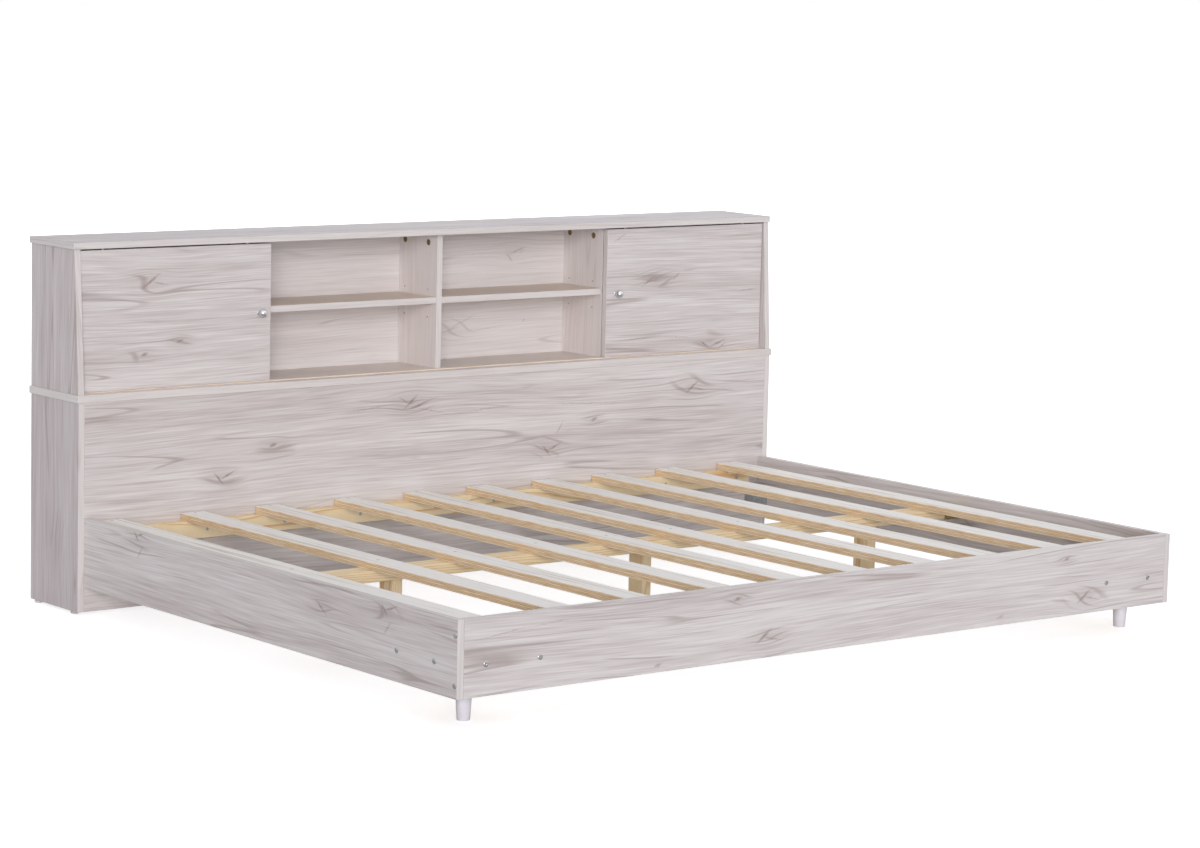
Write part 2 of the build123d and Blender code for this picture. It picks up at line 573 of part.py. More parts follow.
# Each cam is placed by its face and by the direction of its bolt.
up_left = [(x - BOARD / 2, y, cam_z) for x in divider_places.values() for y in columns]
up_left += [(rail_out, y, cam_z) for y in columns]
up_left += [(rail_out, y, deck_under - CAM_REACH) for y in lower_columns]
up_right = [(-rail_out, y, cam_z) for y in columns]
up_right += [(-rail_out, y, deck_under - CAM_REACH) for y in lower_columns]
down_left = [(rail_out, y, DECK_TOP + CAM_REACH) for y in columns]
down_right = [(-rail_out, y, DECK_TOP + CAM_REACH) for y in columns]
cam_places = [Location(place) for place in up_left]
cam_places += [Location(place, (0, 0, 180)) for place in up_right]
cam_places += [Location(place, (180, 0, 0)) for place in down_left]
cam_places += [Location(place, (180, 0, 180)) for place in down_right]
for z in FRONT_CAM_HEIGHTS:
    cam_places.append(Location((cam_x, panel_y + BOARD, z), (-90, 90, 0)))
    cam_places.append(Location((-cam_x, panel_y + BOARD, z), (90, -90, 0)))

with BuildPart() as cam_locks:
    with Locations(*cam_places):
        add(one_cam.part)
cam_locks.part.label = "cam_locks"
export_step(cam_locks.part, "parts/cam_locks.step")

with BuildPart() as cam_bolts:
    with Locations(*[place * Location((BOARD / 2, 0, 0)) for place in cam_places]):
        add(one_cam_bolt.part)
cam_bolts.part.label = "cam_bolts"
export_step(cam_bolts.part, "parts/cam_bolts.step")


# Wooden dowels that locate the boards.
with BuildPart() as dowels:
    with BuildSketch(Plane.XY.offset(top_under - DOWEL_IN_EDGE)):
        with Locations([(x, dowel_y) for x in upright_centres]):
            Circle(DOWEL / 2)
    extrude(amount=DOWEL_IN_EDGE + DOWEL_IN_FACE)
    with BuildSketch(Plane.XY.offset(deck_under - DOWEL_IN_EDGE)):
        with Locations([(x, lower_dowel_y) for x in (-side_centre, side_centre)]):
            Circle(DOWEL / 2)
        with Locations([(x, panel_y + BOARD / 2) for x in FRONT_DOWEL_PLACES]):
            Circle(DOWEL / 2)
    extrude(amount=DOWEL_IN_EDGE + DOWEL_IN_FACE)
    for hand in (-1, 1):
        with BuildSketch(Plane.YZ.offset(hand * (rail_out - DOWEL_IN_EDGE))):
            with Locations((panel_y + BOARD / 2, FRONT_DOWEL_HEIGHT)):
                Circle(DOWEL / 2)
        extrude(amount=hand * (DOWEL_IN_EDGE + DOWEL_IN_FACE))
dowels.part.label = "dowels"
export_step(dowels.part, "parts/dowels.step")


# Screws driven up through the deck into the dividers.
with BuildPart() as case_screws:
    with BuildSketch(Plane.XY.offset(deck_under + CLEAR)):
        with Locations([(x, y) for x in divider_places.values() for y in columns]):
            Circle(BOLT)
    extrude(amount=CASE_SCREW_HEAD)
    with BuildSketch(Plane.XY.offset(deck_under + CASE_SCREW_HEAD)):
        with Locations([(x, y) for x in divider_places.values() for y in columns]):
            Circle(BOLT / 2)
    extrude(amount=DECK_THICKNESS - CASE_SCREW_HEAD + CASE_SCREW_REACH)
case_screws.part.label = "case_screws"
export_step(case_screws.part, "parts/case_screws.step")


# Nail glides under the lower sides.
with BuildPart() as glides:
    glide_places = [(x, y) for x in (-side_centre, side_centre) for y in glide_ys]
    with BuildSketch():
        with Locations(glide_places):
            Circle(GLIDE / 2)
    extrude(amount=GLIDE_HEIGHT)
    chamfer(glides.edges().group_by(Axis.Z)[0], GLIDE_EASE)
    with BuildSketch(Plane.XY.offset(GLIDE_HEIGHT)):
        with Locations(glide_places):
            Circle(GLIDE_NAIL / 2)
    extrude(amount=GLIDE_NAIL_LENGTH)
glides.part.label = "glides"
export_step(glides.part, "parts/glides.step")


# Side rails, butted on the bookcase's front panel, drilled for the corner and cleat bolts.
for name, hand in (("left", -1), ("right", 1)):
    with BuildPart() as side_rail:
        with BuildSketch(Plane.XY.offset(RAIL_BOTTOM)):
            with Locations((hand * (rail_out + rail_in) / 2, (front_y + panel_y) / 2)):
                Rectangle(BOARD, BED_DEPTH)
        extrude(amount=RAIL_HEIGHT)
        chamfer(side_rail.edges(), EASE)
        with BuildSketch(Plane.YZ.offset(hand * rail_out)):
            with Locations([(front_y + BOARD / 2, z) for z in CORNER_BOLT_HEIGHTS]):
                Circle(BOLT / 2 + CLEAR)
            with Locations([(front_y + reach, CLEAT_BOLT_HEIGHT) for reach in CLEAT_BOLT_REACH]):
                Circle(BOLT / 2 + CLEAR)
        extrude(amount=-hand * BOARD, mode=Mode.SUBTRACT)
        with BuildSketch(Plane.YZ.offset(hand * rail_in)):
            with Locations([(panel_y - BRACKET_HOLE, z) for z in BRACKET_SCREW_HEIGHTS]):
                Circle(SCREW / 2 + CLEAR)
            with Locations([(y, shoe_screw_z) for y in shoe_screw_ys]):
                Circle(SCREW / 2 + CLEAR)
        extrude(amount=hand * RAIL_PILOT, mode=Mode.SUBTRACT)
    side_rail.part.label = f"side_rail_{name}"
    export_step(side_rail.part, f"parts/side_rail_{name}.step")

with BuildPart() as front_rail:
    with BuildSketch(Plane.XY.offset(RAIL_BOTTOM)):
        with Locations((0, front_y + BOARD / 2)):
            Rectangle(2 * rail_in, BOARD)
    extrude(amount=RAIL_HEIGHT)
    chamfer(front_rail.edges(), EASE)
    for hand in (-1, 1):
        with BuildSketch(Plane.YZ.offset(hand * rail_in)):
            with Locations([(front_y + BOARD / 2, z) for z in CORNER_BOLT_HEIGHTS]):
                Circle(BOLT / 2 + CLEAR)
        extrude(amount=-hand * (CORNER_BOLT_LENGTH - BOARD + CLEAR), mode=Mode.SUBTRACT)
        with BuildSketch(Plane.XZ.offset(-front_y)):
            with Locations([(hand * (rail_out - reach), CLEAT_BOLT_HEIGHT) for reach in FRONT_BOLT_REACH]):
                Circle(BOLT / 2 + CLEAR)
        extrude(amount=-BOARD, mode=Mode.SUBTRACT)
    with BuildSketch(Plane.XZ.offset(-rail_inner_y)):
        with Locations([(x, ledger_screw_z) for x in FRONT_LEDGER_SCREWS]):
            Circle(SCREW / 2 + CLEAR)
    extrude(amount=PILOT, mode=Mode.SUBTRACT)
front_rail.part.label = "front_rail"
export_step(front_rail.part, "parts/front_rail.step")


# Ledgers that carry the ends of the slats. The back one is in two lengths.
back_lengths = (
    ("left", -rail_in + LEDGER_END_GAP, LEDGER_JOINT - LEDGER_JOINT_GAP / 2),
    ("right", LEDGER_JOINT + LEDGER_JOINT_GAP / 2, LEDGER_END),
)
for name, ledger_left, ledger_right in back_lengths:
    with BuildPart() as back_ledger:
        with BuildSketch(Plane.XY.offset(ledger_under)):
            with Locations(((ledger_left + ledger_right) / 2, panel_y - LEDGER_DEPTH / 2)):
                Rectangle(ledger_right - ledger_left, LEDGER_DEPTH)
        extrude(amount=LEDGER_HEIGHT)
        chamfer(back_ledger.edges(), EASE)
        with BuildSketch(Plane.XZ.offset(-panel_y)):
            with Locations([(x, ledger_screw_z) for x in BACK_LEDGER_SCREWS[name]]):
                Circle(SCREW / 2 + CLEAR)
        extrude(amount=LEDGER_DEPTH, mode=Mode.SUBTRACT)
        with BuildSketch(Plane.XZ.offset(-panel_y + LEDGER_DEPTH)):
            with Locations([(x, ledger_screw_z) for x in BACK_LEDGER_SCREWS[name]]):
                Circle(SCREW_HEAD / 2 + CLEAR)
        extrude(amount=-HEAD_BORE, mode=Mode.SUBTRACT)
        own_slats = [x for x in SLAT_CENTRES if ledger_left < x < ledger_right]
        with BuildSketch(Plane.XY.offset(slat_under)):
            with Locations([(x, panel_y - SLAT_SCREW_SETBACK) for x in own_slats]):
                Circle(SCREW / 2 + CLEAR)
        extrude(amount=-SLAT_SCREW_LENGTH + SLAT_THICKNESS - BORE_SPARE, mode=Mode.SUBTRACT)
    back_ledger.part.label = f"back_ledger_{name}"
    export_step(back_ledger.part, f"parts/back_ledger_{name}.step")

with BuildPart() as front_ledger:
    with BuildSketch(Plane.XY.offset(ledger_under)):
        with Locations((0, rail_inner_y + LEDGER_DEPTH / 2)):
            Rectangle(2 * (rail_in - LEDGER_END_GAP), LEDGER_DEPTH)
    extrude(amount=LEDGER_HEIGHT)
    chamfer(front_ledger.edges(), EASE)
    with BuildSketch(Plane.XZ.offset(-rail_inner_y)):
        with Locations([(x, ledger_screw_z) for x in FRONT_LEDGER_SCREWS]):
            Circle(SCREW / 2 + CLEAR)
    extrude(amount=-LEDGER_DEPTH, mode=Mode.SUBTRACT)
    with BuildSketch(Plane.XZ.offset(-rail_inner_y - LEDGER_DEPTH)):
        with Locations([(x, ledger_screw_z) for x in FRONT_LEDGER_SCREWS]):
            Circle(SCREW_HEAD / 2 + CLEAR)
    extrude(amount=HEAD_BORE, mode=Mode.SUBTRACT)
    with BuildSketch(Plane.XY.offset(slat_under)):
        with Locations([(x, rail_inner_y + SLAT_SCREW_SETBACK) for x in SLAT_CENTRES]):
            Circle(SCREW / 2 + CLEAR)
    extrude(amount=-SLAT_SCREW_LENGTH + SLAT_THICKNESS - BORE_SPARE, mode=Mode.SUBTRACT)
front_ledger.part.label = "front_ledger"
export_step(front_ledger.part, "parts/front_ledger.step")


# Slats, screwed down on the ledgers and the centre beam.
slat_front = rail_inner_y + SLAT_GAP_FRONT
slat_back = panel_y - SLAT_GAP_BACK
slat_crossings = (rail_inner_y + SLAT_SCREW_SETBACK, beam_y, panel_y - SLAT_SCREW_SETBACK)
for number, x in enumerate(SLAT_CENTRES, start=1):
    with BuildPart() as slat:
        with BuildSketch(Plane.XY.offset(slat_under)):
            with Locations((x, (slat_front + slat_back) / 2)):
                Rectangle(SLAT_WIDTH, slat_back - slat_front)
        extrude(amount=SLAT_THICKNESS)
        fillet(slat.edges().filter_by(Axis.Y), SLAT_EASE)
        with Locations([(x, y, SLAT_TOP) for y in slat_crossings]):
            CounterSinkHole(SCREW / 2 + CLEAR, SCREW_HEAD / 2 + CLEAR, counter_sink_angle=90)
    slat.part.label = f"slat_{number:02d}"
    export_step(slat.part, f"parts/slat_{number:02d}.step")


# Centre beam under the slats, on three legs.
beam_end = rail_in - STEEL - BEAM_END_GAP
leg_screw_y = (beam_y - LEG_SCREW_SPREAD, beam_y + LEG_SCREW_SPREAD)
leg_places = {"left": -LEG_SPACING, "centre": 0, "right": LEG_SPACING}
shoe_screw_x = rail_in - SHOE_LENGTH * SHOE_SCREW_SHARE
with BuildPart() as centre_beam:
    with BuildSketch(Plane.XY.offset(beam_under)):
        with Locations((0, beam_y)):
            Rectangle(2 * beam_end, BEAM_WIDTH)
    extrude(amount=BEAM_HEIGHT)
    chamfer(centre_beam.edges(), EASE)
    with BuildSketch(Plane.XY.offset(slat_under)):
        with Locations([(x, beam_y) for x in SLAT_CENTRES]):
            Circle(SCREW / 2 + CLEAR)
    extrude(amount=-SLAT_SCREW_LENGTH + SLAT_THICKNESS - BORE_SPARE, mode=Mode.SUBTRACT)
    with Locations([(x, y, slat_under) for x in leg_places.values() for y in leg_screw_y]):
        CounterSinkHole(SCREW / 2 + CLEAR, SCREW_HEAD / 2 + CLEAR, counter_sink_angle=90)
    for face in (-1, 1):
        with BuildSketch(Plane.XZ.offset(-beam_y - face * BEAM_WIDTH / 2)):
            with Locations([(x, shoe_screw_z) for x in (-shoe_screw_x, shoe_screw_x)]):
                Circle(SCREW / 2 + CLEAR)
        extrude(amount=face * PAN_SCREW_LENGTH, mode=Mode.SUBTRACT)
centre_beam.part.label = "centre_beam"
export_step(centre_beam.part, "parts/centre_beam.step")

for name, x in leg_places.items():
    with BuildPart() as beam_leg:
        with BuildSketch():
            with Locations((x, beam_y)):
                Rectangle(LEG_THICKNESS, BEAM_WIDTH)
        extrude(amount=beam_under)
        chamfer(beam_leg.edges(), EASE)
        with BuildSketch(Plane.XY.offset(beam_under)):
            with Locations([(x, y) for y in leg_screw_y]):
                Circle(SCREW / 2 + CLEAR)
        extrude(amount=-LEG_SCREW_LENGTH + BEAM_HEIGHT - BORE_SPARE, mode=Mode.SUBTRACT)
    beam_leg.part.label = f"beam_leg_{name}"
    export_step(beam_leg.part, f"parts/beam_leg_{name}.step")

# Folded steel shoes that carry the ends of the beam on the side rails: an end plate, a seat and
# two cheeks, open at the top.
with BuildPart() as beam_shoes:
    for hand in (-1, 1):
        with BuildSketch(Plane.YZ.offset(hand * rail_in)):
            with Locations((beam_y, shoe_screw_z - STEEL / 2)):
                Rectangle(BEAM_WIDTH + 2 * STEEL, BEAM_HEIGHT + STEEL)
        extrude(amount=-hand * SHOE_LENGTH)
        with BuildSketch(Plane.YZ.offset(hand * (rail_in - STEEL))):
            with Locations((beam_y, shoe_screw_z)):
                Rectangle(BEAM_WIDTH, BEAM_HEIGHT)
        extrude(amount=-hand * SHOE_LENGTH, mode=Mode.SUBTRACT)
        with BuildSketch(Plane.YZ.offset(hand * rail_in)):
            with Locations([(y, shoe_screw_z) for y in shoe_screw_ys]):
                Circle(SCREW / 2 + CLEAR)
        extrude(amount=-hand * STEEL, mode=Mode.SUBTRACT)
        with BuildSketch(Plane.XZ.offset(-beam_y - BEAM_WIDTH)):
            with Locations((hand * shoe_screw_x, shoe_screw_z)):
                Circle(SCREW / 2 + CLEAR)
        extrude(amount=2 * BEAM_WIDTH, mode=Mode.SUBTRACT)
beam_shoes.part.label = "beam_shoes"
export_step(beam_shoes.part, "parts/beam_shoes.step")


# Front corners: a front cleat, a side cleat, a plate screwed up under both, and a turned foot.
front_cleat_back = rail_inner_y + CLEAT_THICKNESS
front_cleat_y = rail_inner_y + CLEAT_THICKNESS / 2
for name, hand in (("left", -1), ("right", 1)):
    side_cleat_x = hand * (rail_in - CLEAT_THICKNESS / 2)
    side_screw_places = [(side_cleat_x, front_cleat_back + along) for along in SIDE_CLEAT_SCREWS]
    front_screw_places = [(hand * (rail_in - inset), front_cleat_y) for inset in FRONT_CLEAT_SCREWS]
    plate_screw_places = side_screw_places + front_screw_places
    with BuildPart() as front_cleat:
        with BuildSketch(Plane.XY.offset(cleat_under)):
            with Locations((hand * (rail_in - CLEAT_LENGTH / 2), front_cleat_y)):
                Rectangle(CLEAT_LENGTH, CLEAT_THICKNESS)
        extrude(amount=CLEAT_HEIGHT)
        chamfer(front_cleat.edges(), EASE)
        with BuildSketch(Plane.XZ.offset(-rail_inner_y)):
            with Locations([(hand * (rail_out - reach), CLEAT_BOLT_HEIGHT) for reach in FRONT_BOLT_REACH]):
                Circle(BOLT / 2 + CLEAR)
        extrude(amount=-(CLEAT_BOLT_LENGTH - BOARD + BORE_SPARE), mode=Mode.SUBTRACT)
        with BuildSketch(Plane.XY.offset(cleat_under)):
            with Locations(front_screw_places):
                Circle(SCREW / 2 + CLEAR)
        extrude(amount=LEDGER_SCREW_LENGTH - PLATE_THICKNESS + BORE_SPARE, mode=Mode.SUBTRACT)
    front_cleat.part.label = f"front_cleat_{name}"
    export_step(front_cleat.part, f"parts/front_cleat_{name}.step")

    with BuildPart() as side_cleat:
        with BuildSketch(Plane.XY.offset(cleat_under)):
            with Locations((side_cleat_x, front_cleat_back + SIDE_CLEAT_LENGTH / 2)):
                Rectangle(CLEAT_THICKNESS, SIDE_CLEAT_LENGTH)
        extrude(amount=CLEAT_HEIGHT)
        chamfer(side_cleat.edges(), EASE)
        with BuildSketch(Plane.YZ.offset(hand * rail_in)):
            with Locations([(front_y + reach, CLEAT_BOLT_HEIGHT) for reach in CLEAT_BOLT_REACH]):
                Circle(BOLT / 2 + CLEAR)
        extrude(amount=-hand * (CLEAT_BOLT_LENGTH - BOARD + BORE_SPARE), mode=Mode.SUBTRACT)
        with BuildSketch(Plane.XY.offset(cleat_under)):
            with Locations(side_screw_places):
                Circle(SCREW / 2 + CLEAR)
        extrude(amount=LEDGER_SCREW_LENGTH - PLATE_THICKNESS + BORE_SPARE, mode=Mode.SUBTRACT)
    side_cleat.part.label = f"side_cleat_{name}"
    export_step(side_cleat.part, f"parts/side_cleat_{name}.step")

    with BuildPart() as foot_plate:
        with BuildSketch(Plane.XY.offset(plate_under)):
            with Locations((hand * (rail_in - PLATE / 2), rail_inner_y + PLATE / 2)):
                Rectangle(PLATE, PLATE)
        extrude(amount=PLATE_THICKNESS)
        chamfer(foot_plate.edges(), EASE)
        with BuildSketch(Plane.XY.offset(plate_under)):
            with Locations((hand * foot_x, foot_y)):
                Circle(STUD / 2 + CLEAR)
            with Locations(plate_screw_places):
                Circle(SCREW / 2 + CLEAR)
        extrude(amount=PLATE_THICKNESS, mode=Mode.SUBTRACT)
        with BuildSketch(Plane.XY.offset(plate_under)):
            with Locations(plate_screw_places):
                Circle(SCREW_HEAD / 2 + CLEAR)
        extrude(amount=HEAD_BORE, mode=Mode.SUBTRACT)
    foot_plate.part.label = f"foot_plate_{name}"
    export_step(foot_plate.part, f"parts/foot_plate_{name}.step")

    with BuildPart() as foot:
        with BuildSketch(Plane.XZ.offset(-foot_y)):
            with BuildLine():
                Polyline(
                    (hand * foot_x, 0),
                    (hand * foot_x + FOOT_BOTTOM / 2 - FOOT_EASE, 0),
                    (hand * foot_x + FOOT_BOTTOM / 2, FOOT_EASE),
                    (hand * foot_x + FOOT_TOP / 2, FOOT_HEIGHT - FOOT_EASE),
                    (hand * foot_x + FOOT_TOP / 2 - FOOT_EASE, FOOT_HEIGHT),
                    (hand * foot_x, FOOT_HEIGHT),
                    close=True,
                )
            make_face()
        revolve(axis=Axis((hand * foot_x, foot_y, 0), (0, 0, 1)), revolution_arc=360)
        with BuildSketch(Plane.XY.offset(FOOT_HEIGHT)):
            with Locations((hand * foot_x, foot_y)):
                Circle(STUD / 2 + CLEAR)
        extrude(amount=-STUD_IN_FOOT - BORE_SPARE, mode=Mode.SUBTRACT)
    foot.part.label = f"foot_{name}"
    export_step(foot.part, f"parts/foot_{name}.step")

with BuildPart() as foot_studs:
    with BuildSketch(Plane.XY.offset(FOOT_HEIGHT - STUD_IN_FOOT)):
        with Locations([(x, foot_y) for x in (-foot_x, foot_x)]):
            Circle(STUD / 2)
    extrude(amount=STUD_IN_FOOT + PLATE_THICKNESS - BORE_SPARE)
foot_studs.part.label = "foot_studs"
export_step(foot_studs.part, "parts/foot_studs.step")


# Bolt with a low round head and a hexagon socket, head up at the origin. The corner bolts are long
# ones into the front rail's end, the others hold the cleats.
def rail_bolt(length):
    with BuildPart() as bolt:
        with BuildSketch():
            Circle(BOLT_HEAD / 2)
        extrude(amount=BOLT_HEAD_RISE)
        chamfer(bolt.edges().group_by(Axis.Z)[-1], BOLT_HEAD_RISE / 2)
        with BuildSketch():
            Circle(BOLT / 2)
        extrude(amount=-length)
        with BuildSketch(Plane.XY.offset(BOLT_HEAD_RISE)):
            RegularPolygon(BOLT_SOCKET / 2, 6)
        extrude(amount=-BOLT_HEAD_RISE, mode=Mode.SUBTRACT)
    return bolt.part


corner_bolts = []
cleat_bolts = []
for hand in (-1, 1):
    for z in CORNER_BOLT_HEIGHTS:
        corner_bolts.append(Location((hand * rail_out, front_y + BOARD / 2, z), (0, hand * 90, 0)))
    for reach in CLEAT_BOLT_REACH:
        cleat_bolts.append(Location((hand * rail_out, front_y + reach, CLEAT_BOLT_HEIGHT), (0, hand * 90, 0)))
    for reach in FRONT_BOLT_REACH:
        cleat_bolts.append(Location((hand * (rail_out - reach), front_y, CLEAT_BOLT_HEIGHT), (90, 0, 0)))
with BuildPart() as rail_bolts:
    with Locations(*corner_bolts):
        add(rail_bolt(CORNER_BOLT_LENGTH))
    with Locations(*cleat_bolts):
        add(rail_bolt(CLEAT_BOLT_LENGTH))
rail_bolts.part.label = "rail_bolts"
export_step(rail_bolts.part, "parts/rail_bolts.step")


# Steel angles that hold the side rails to the bookcase's front panel, inside the frame.
with BuildPart() as rail_brackets:
    for hand in (-1, 1):
        with BuildSketch(Plane.XY.offset(BRACKET_BOTTOM)):
            with Locations((hand * (rail_in - BRACKET / 2), panel_y - BRACKET_STEEL / 2)):
                Rectangle(BRACKET, BRACKET_STEEL)
            with Locations((hand * (rail_in - BRACKET_STEEL / 2), panel_y - BRACKET / 2)):
                Rectangle(BRACKET_STEEL, BRACKET)
        extrude(amount=BRACKET_HEIGHT)
        with BuildSketch(Plane.YZ.offset(hand * rail_in)):
            with Locations([(panel_y - BRACKET_HOLE, z) for z in BRACKET_SCREW_HEIGHTS]):
                Circle(SCREW / 2 + CLEAR)
        extrude(amount=-hand * BRACKET_STEEL, mode=Mode.SUBTRACT)
        with BuildSketch(Plane.XZ.offset(-panel_y)):
            with Locations([(hand * (rail_in - BRACKET_HOLE), z) for z in BRACKET_SCREW_HEIGHTS]):
                Circle(SCREW / 2 + CLEAR)
        extrude(amount=BRACKET_STEEL, mode=Mode.SUBTRACT)
rail_brackets.part.label = "rail_brackets"
export_step(rail_brackets.part, "parts/rail_brackets.step")


# Countersunk wood screw, head up, its top at the origin.
def flat_screw(length):
    with BuildPart() as screw:
        Cone(SCREW / 2, SCREW_HEAD / 2, SCREW / 2, align=(Align.CENTER, Align.CENTER, Align.MAX))
        Cylinder(SCREW / 2, length, align=(Align.CENTER, Align.CENTER, Align.MAX))
        with BuildSketch():
            Rectangle(SCREW_SLOT, SCREW_SLOT_WIDTH)
            Rectangle(SCREW_SLOT_WIDTH, SCREW_SLOT)
        extrude(amount=-SCREW_SLOT_DEPTH, mode=Mode.SUBTRACT)
    return screw.part


# Pan head screw, head up, the underside of its head at the origin.
def pan_screw(length):
    with BuildPart() as screw:
        Cylinder(SCREW_HEAD / 2, PAN_HEAD_RISE, align=(Align.CENTER, Align.CENTER, Align.MIN))
        chamfer(screw.edges().group_by(Axis.Z)[-1], PAN_HEAD_EASE)
        Cylinder(SCREW / 2, length, align=(Align.CENTER, Align.CENTER, Align.MAX))
    return screw.part


with BuildPart() as slat_screws:
    with Locations([(x, y, SLAT_TOP - CLEAR) for x in SLAT_CENTRES for y in slat_crossings]):
        add(flat_screw(SLAT_SCREW_LENGTH))
slat_screws.part.label = "slat_screws"
export_step(slat_screws.part, "parts/slat_screws.step")

ledger_face = panel_y - LEDGER_DEPTH
ledger_screws = []
for x in back_ledger_screws:
    ledger_screws.append(Location((x, ledger_face + HEAD_SINK, ledger_screw_z), (90, 0, 0)))
for x in FRONT_LEDGER_SCREWS:
    ledger_screws.append(Location((x, rail_inner_y + LEDGER_DEPTH - HEAD_SINK, ledger_screw_z), (-90, 0, 0)))
for hand in (-1, 1):
    for inset in FRONT_CLEAT_SCREWS:
        spot = (hand * (rail_in - inset), front_cleat_y, plate_under + HEAD_SINK)
        ledger_screws.append(Location(spot, (180, 0, 0)))
    for along in SIDE_CLEAT_SCREWS:
        spot = (hand * (rail_in - CLEAT_THICKNESS / 2), front_cleat_back + along, plate_under + HEAD_SINK)
        ledger_screws.append(Location(spot, (180, 0, 0)))
leg_screws = [Location((x, y, slat_under - CLEAR)) for x in leg_places.values() for y in leg_screw_y]
pan_screws = []
for hand in (-1, 1):
    for z in BRACKET_SCREW_HEIGHTS:
        pan_screws.append(
            Location((hand * (rail_in - BRACKET_STEEL), panel_y - BRACKET_HOLE, z), (0, -hand * 90, 0)))
        pan_screws.append(
            Location((hand * (rail_in - BRACKET_HOLE), panel_y - BRACKET_STEEL, z), (90, 0, 0)))
    for y in shoe_screw_ys:
        pan_screws.append(Location((hand * (rail_in - STEEL), y, shoe_screw_z), (0, -hand * 90, 0)))
    for face in (-1, 1):
        cheek_y = beam_y + face * (BEAM_WIDTH / 2 + STEEL)
        pan_screws.append(Location((hand * shoe_screw_x, cheek_y, shoe_screw_z), (-face * 90, 0, 0)))
with BuildPart() as frame_screws:
    with Locations(*ledger_screws):
        add(flat_screw(LEDGER_SCREW_LENGTH))
    with Locations(*leg_screws):
        add(flat_screw(LEG_SCREW_LENGTH))
    with Locations(*pan_screws):
        add(pan_screw(PAN_SCREW_LENGTH))
frame_screws.part.label = "frame_screws"
export_step(frame_screws.part, "parts/frame_screws.step")
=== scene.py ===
"""Looks of a bookcase daybed round its CAD frame: boards, slats, timber, fittings, knobs, feet and bolts."""

import math

import bmesh
import bpy
from mathutils import Matrix, Vector


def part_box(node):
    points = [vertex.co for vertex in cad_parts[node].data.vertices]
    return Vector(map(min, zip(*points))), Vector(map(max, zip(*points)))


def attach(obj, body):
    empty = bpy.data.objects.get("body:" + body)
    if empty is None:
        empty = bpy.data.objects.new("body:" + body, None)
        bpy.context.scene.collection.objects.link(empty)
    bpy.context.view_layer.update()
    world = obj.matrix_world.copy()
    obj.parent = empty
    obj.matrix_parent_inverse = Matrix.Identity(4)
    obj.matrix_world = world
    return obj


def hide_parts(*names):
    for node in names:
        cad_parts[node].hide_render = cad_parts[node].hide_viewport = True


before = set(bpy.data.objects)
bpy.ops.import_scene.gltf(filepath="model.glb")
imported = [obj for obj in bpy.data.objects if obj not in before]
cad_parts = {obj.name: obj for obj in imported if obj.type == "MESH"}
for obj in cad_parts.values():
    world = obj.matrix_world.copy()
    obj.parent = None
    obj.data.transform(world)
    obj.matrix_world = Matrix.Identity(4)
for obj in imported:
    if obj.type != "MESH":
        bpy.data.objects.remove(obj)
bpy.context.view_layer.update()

bl_info = {
    "name": "Bookcase daybed",
    "version": (1, 0, 0),
    "blender": (4, 5, 0),
    "location": "View3D > Sidebar > Daybed",
    "description": "Finishes the boards, slats, timber and fittings of a bookcase daybed and sets its stage",
    "category": "Object",
}

MM = 0.001
AXES = "XYZ"

# Places of the main faces and the boards' thickness, mm.
FRONT_FACE = 589.75
BACK_FACE = 788.75
DOOR_FACE = 613.75
RAIL_FACE = -800.25
SIDE_FACE = 985
BOARD = 15

# Points of a turned piece within the first, in m, are one; a ring's points lie within the second.
SAME_SPOT = 1e-6
SAME_RING = 1e-5


# Materials

# How far the print's streaks wander across a board, mm.
SWAY = 60
# The print's streaks: length and width in mm. The third number keeps the boards' seeds a metre apart.
WANDER = (1100, 250, 1000)
TONE = (800, 64, 1000)
BAND = (420, 9, 1000)
FIBRE = (125, 3, 1000)
CRACK = (550, 30, 1000)
BREAK = (280, 70, 1000)
RING = (450, 84, 1000)
# Ring lines over the whole range of their field.
RINGS = 14
# How far the streaks close in on a knot, from 0 to 1.
KNOT_PUSH = 0.8
# Size of the ragged edges of the knot marks, mm.
RAG = 6
# A face counts as square to an axis where its normal's part along it is over this.
SQUARE = 0.7


def linear(hex_colour):
    """An sRGB hex colour as the linear RGBA that a socket takes."""
    channels = [int(hex_colour[i : i + 2], 16) / 255 for i in (1, 3, 5)]
    return (*[c / 12.92 if c <= 0.04045 else ((c + 0.055) / 1.055) ** 2.4 for c in channels], 1.0)


def add_node(tree, kind, feeds=None, stops=(), **settings):
    """Adds a node with its settings.

    feeds gives its inputs values, sockets or nodes, of which it takes the first output.
    stops are a colour ramp's, as (position, sRGB hex), from low to high.
    """
    made = tree.nodes.new("ShaderNode" + kind)
    for key, value in settings.items():
        setattr(made, key, value)
    for key, value in (feeds or {}).items():
        if isinstance(value, bpy.types.Node):
            value = next(s for s in value.outputs if s.enabled)
        if isinstance(value, bpy.types.NodeSocket):
            tree.links.new(value, made.inputs[key])
        else:
            made.inputs[key].default_value = value
    for index, (position, hex_colour) in enumerate(stops):
        elements = made.color_ramp.elements
        element = elements[index] if index < len(elements) else elements.new(position)
        element.position = position
        element.color = linear(hex_colour)
    return made


def new_material(name):
    """An empty node material and its Principled shader."""
    material = bpy.data.materials.new(name)
    material.use_nodes = True
    tree = material.node_tree
    tree.nodes.clear()
    shader = add_node(tree, "BsdfPrincipled")
    add_node(tree, "OutputMaterial", {"Surface": shader})
    return material, tree, shader


def finish_nodes(names, material):
    """Puts a material on CAD nodes, which keep their place and shape."""
    for name in names:
        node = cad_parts[name]
        node.data.materials.clear()
        node.data.materials.append(material)


def lengthwise(grain, length, width):
    """The size of streaks that run along one axis, in mm."""
    size = [width] * 3
    size[AXES.index(grain)] = length
    return size


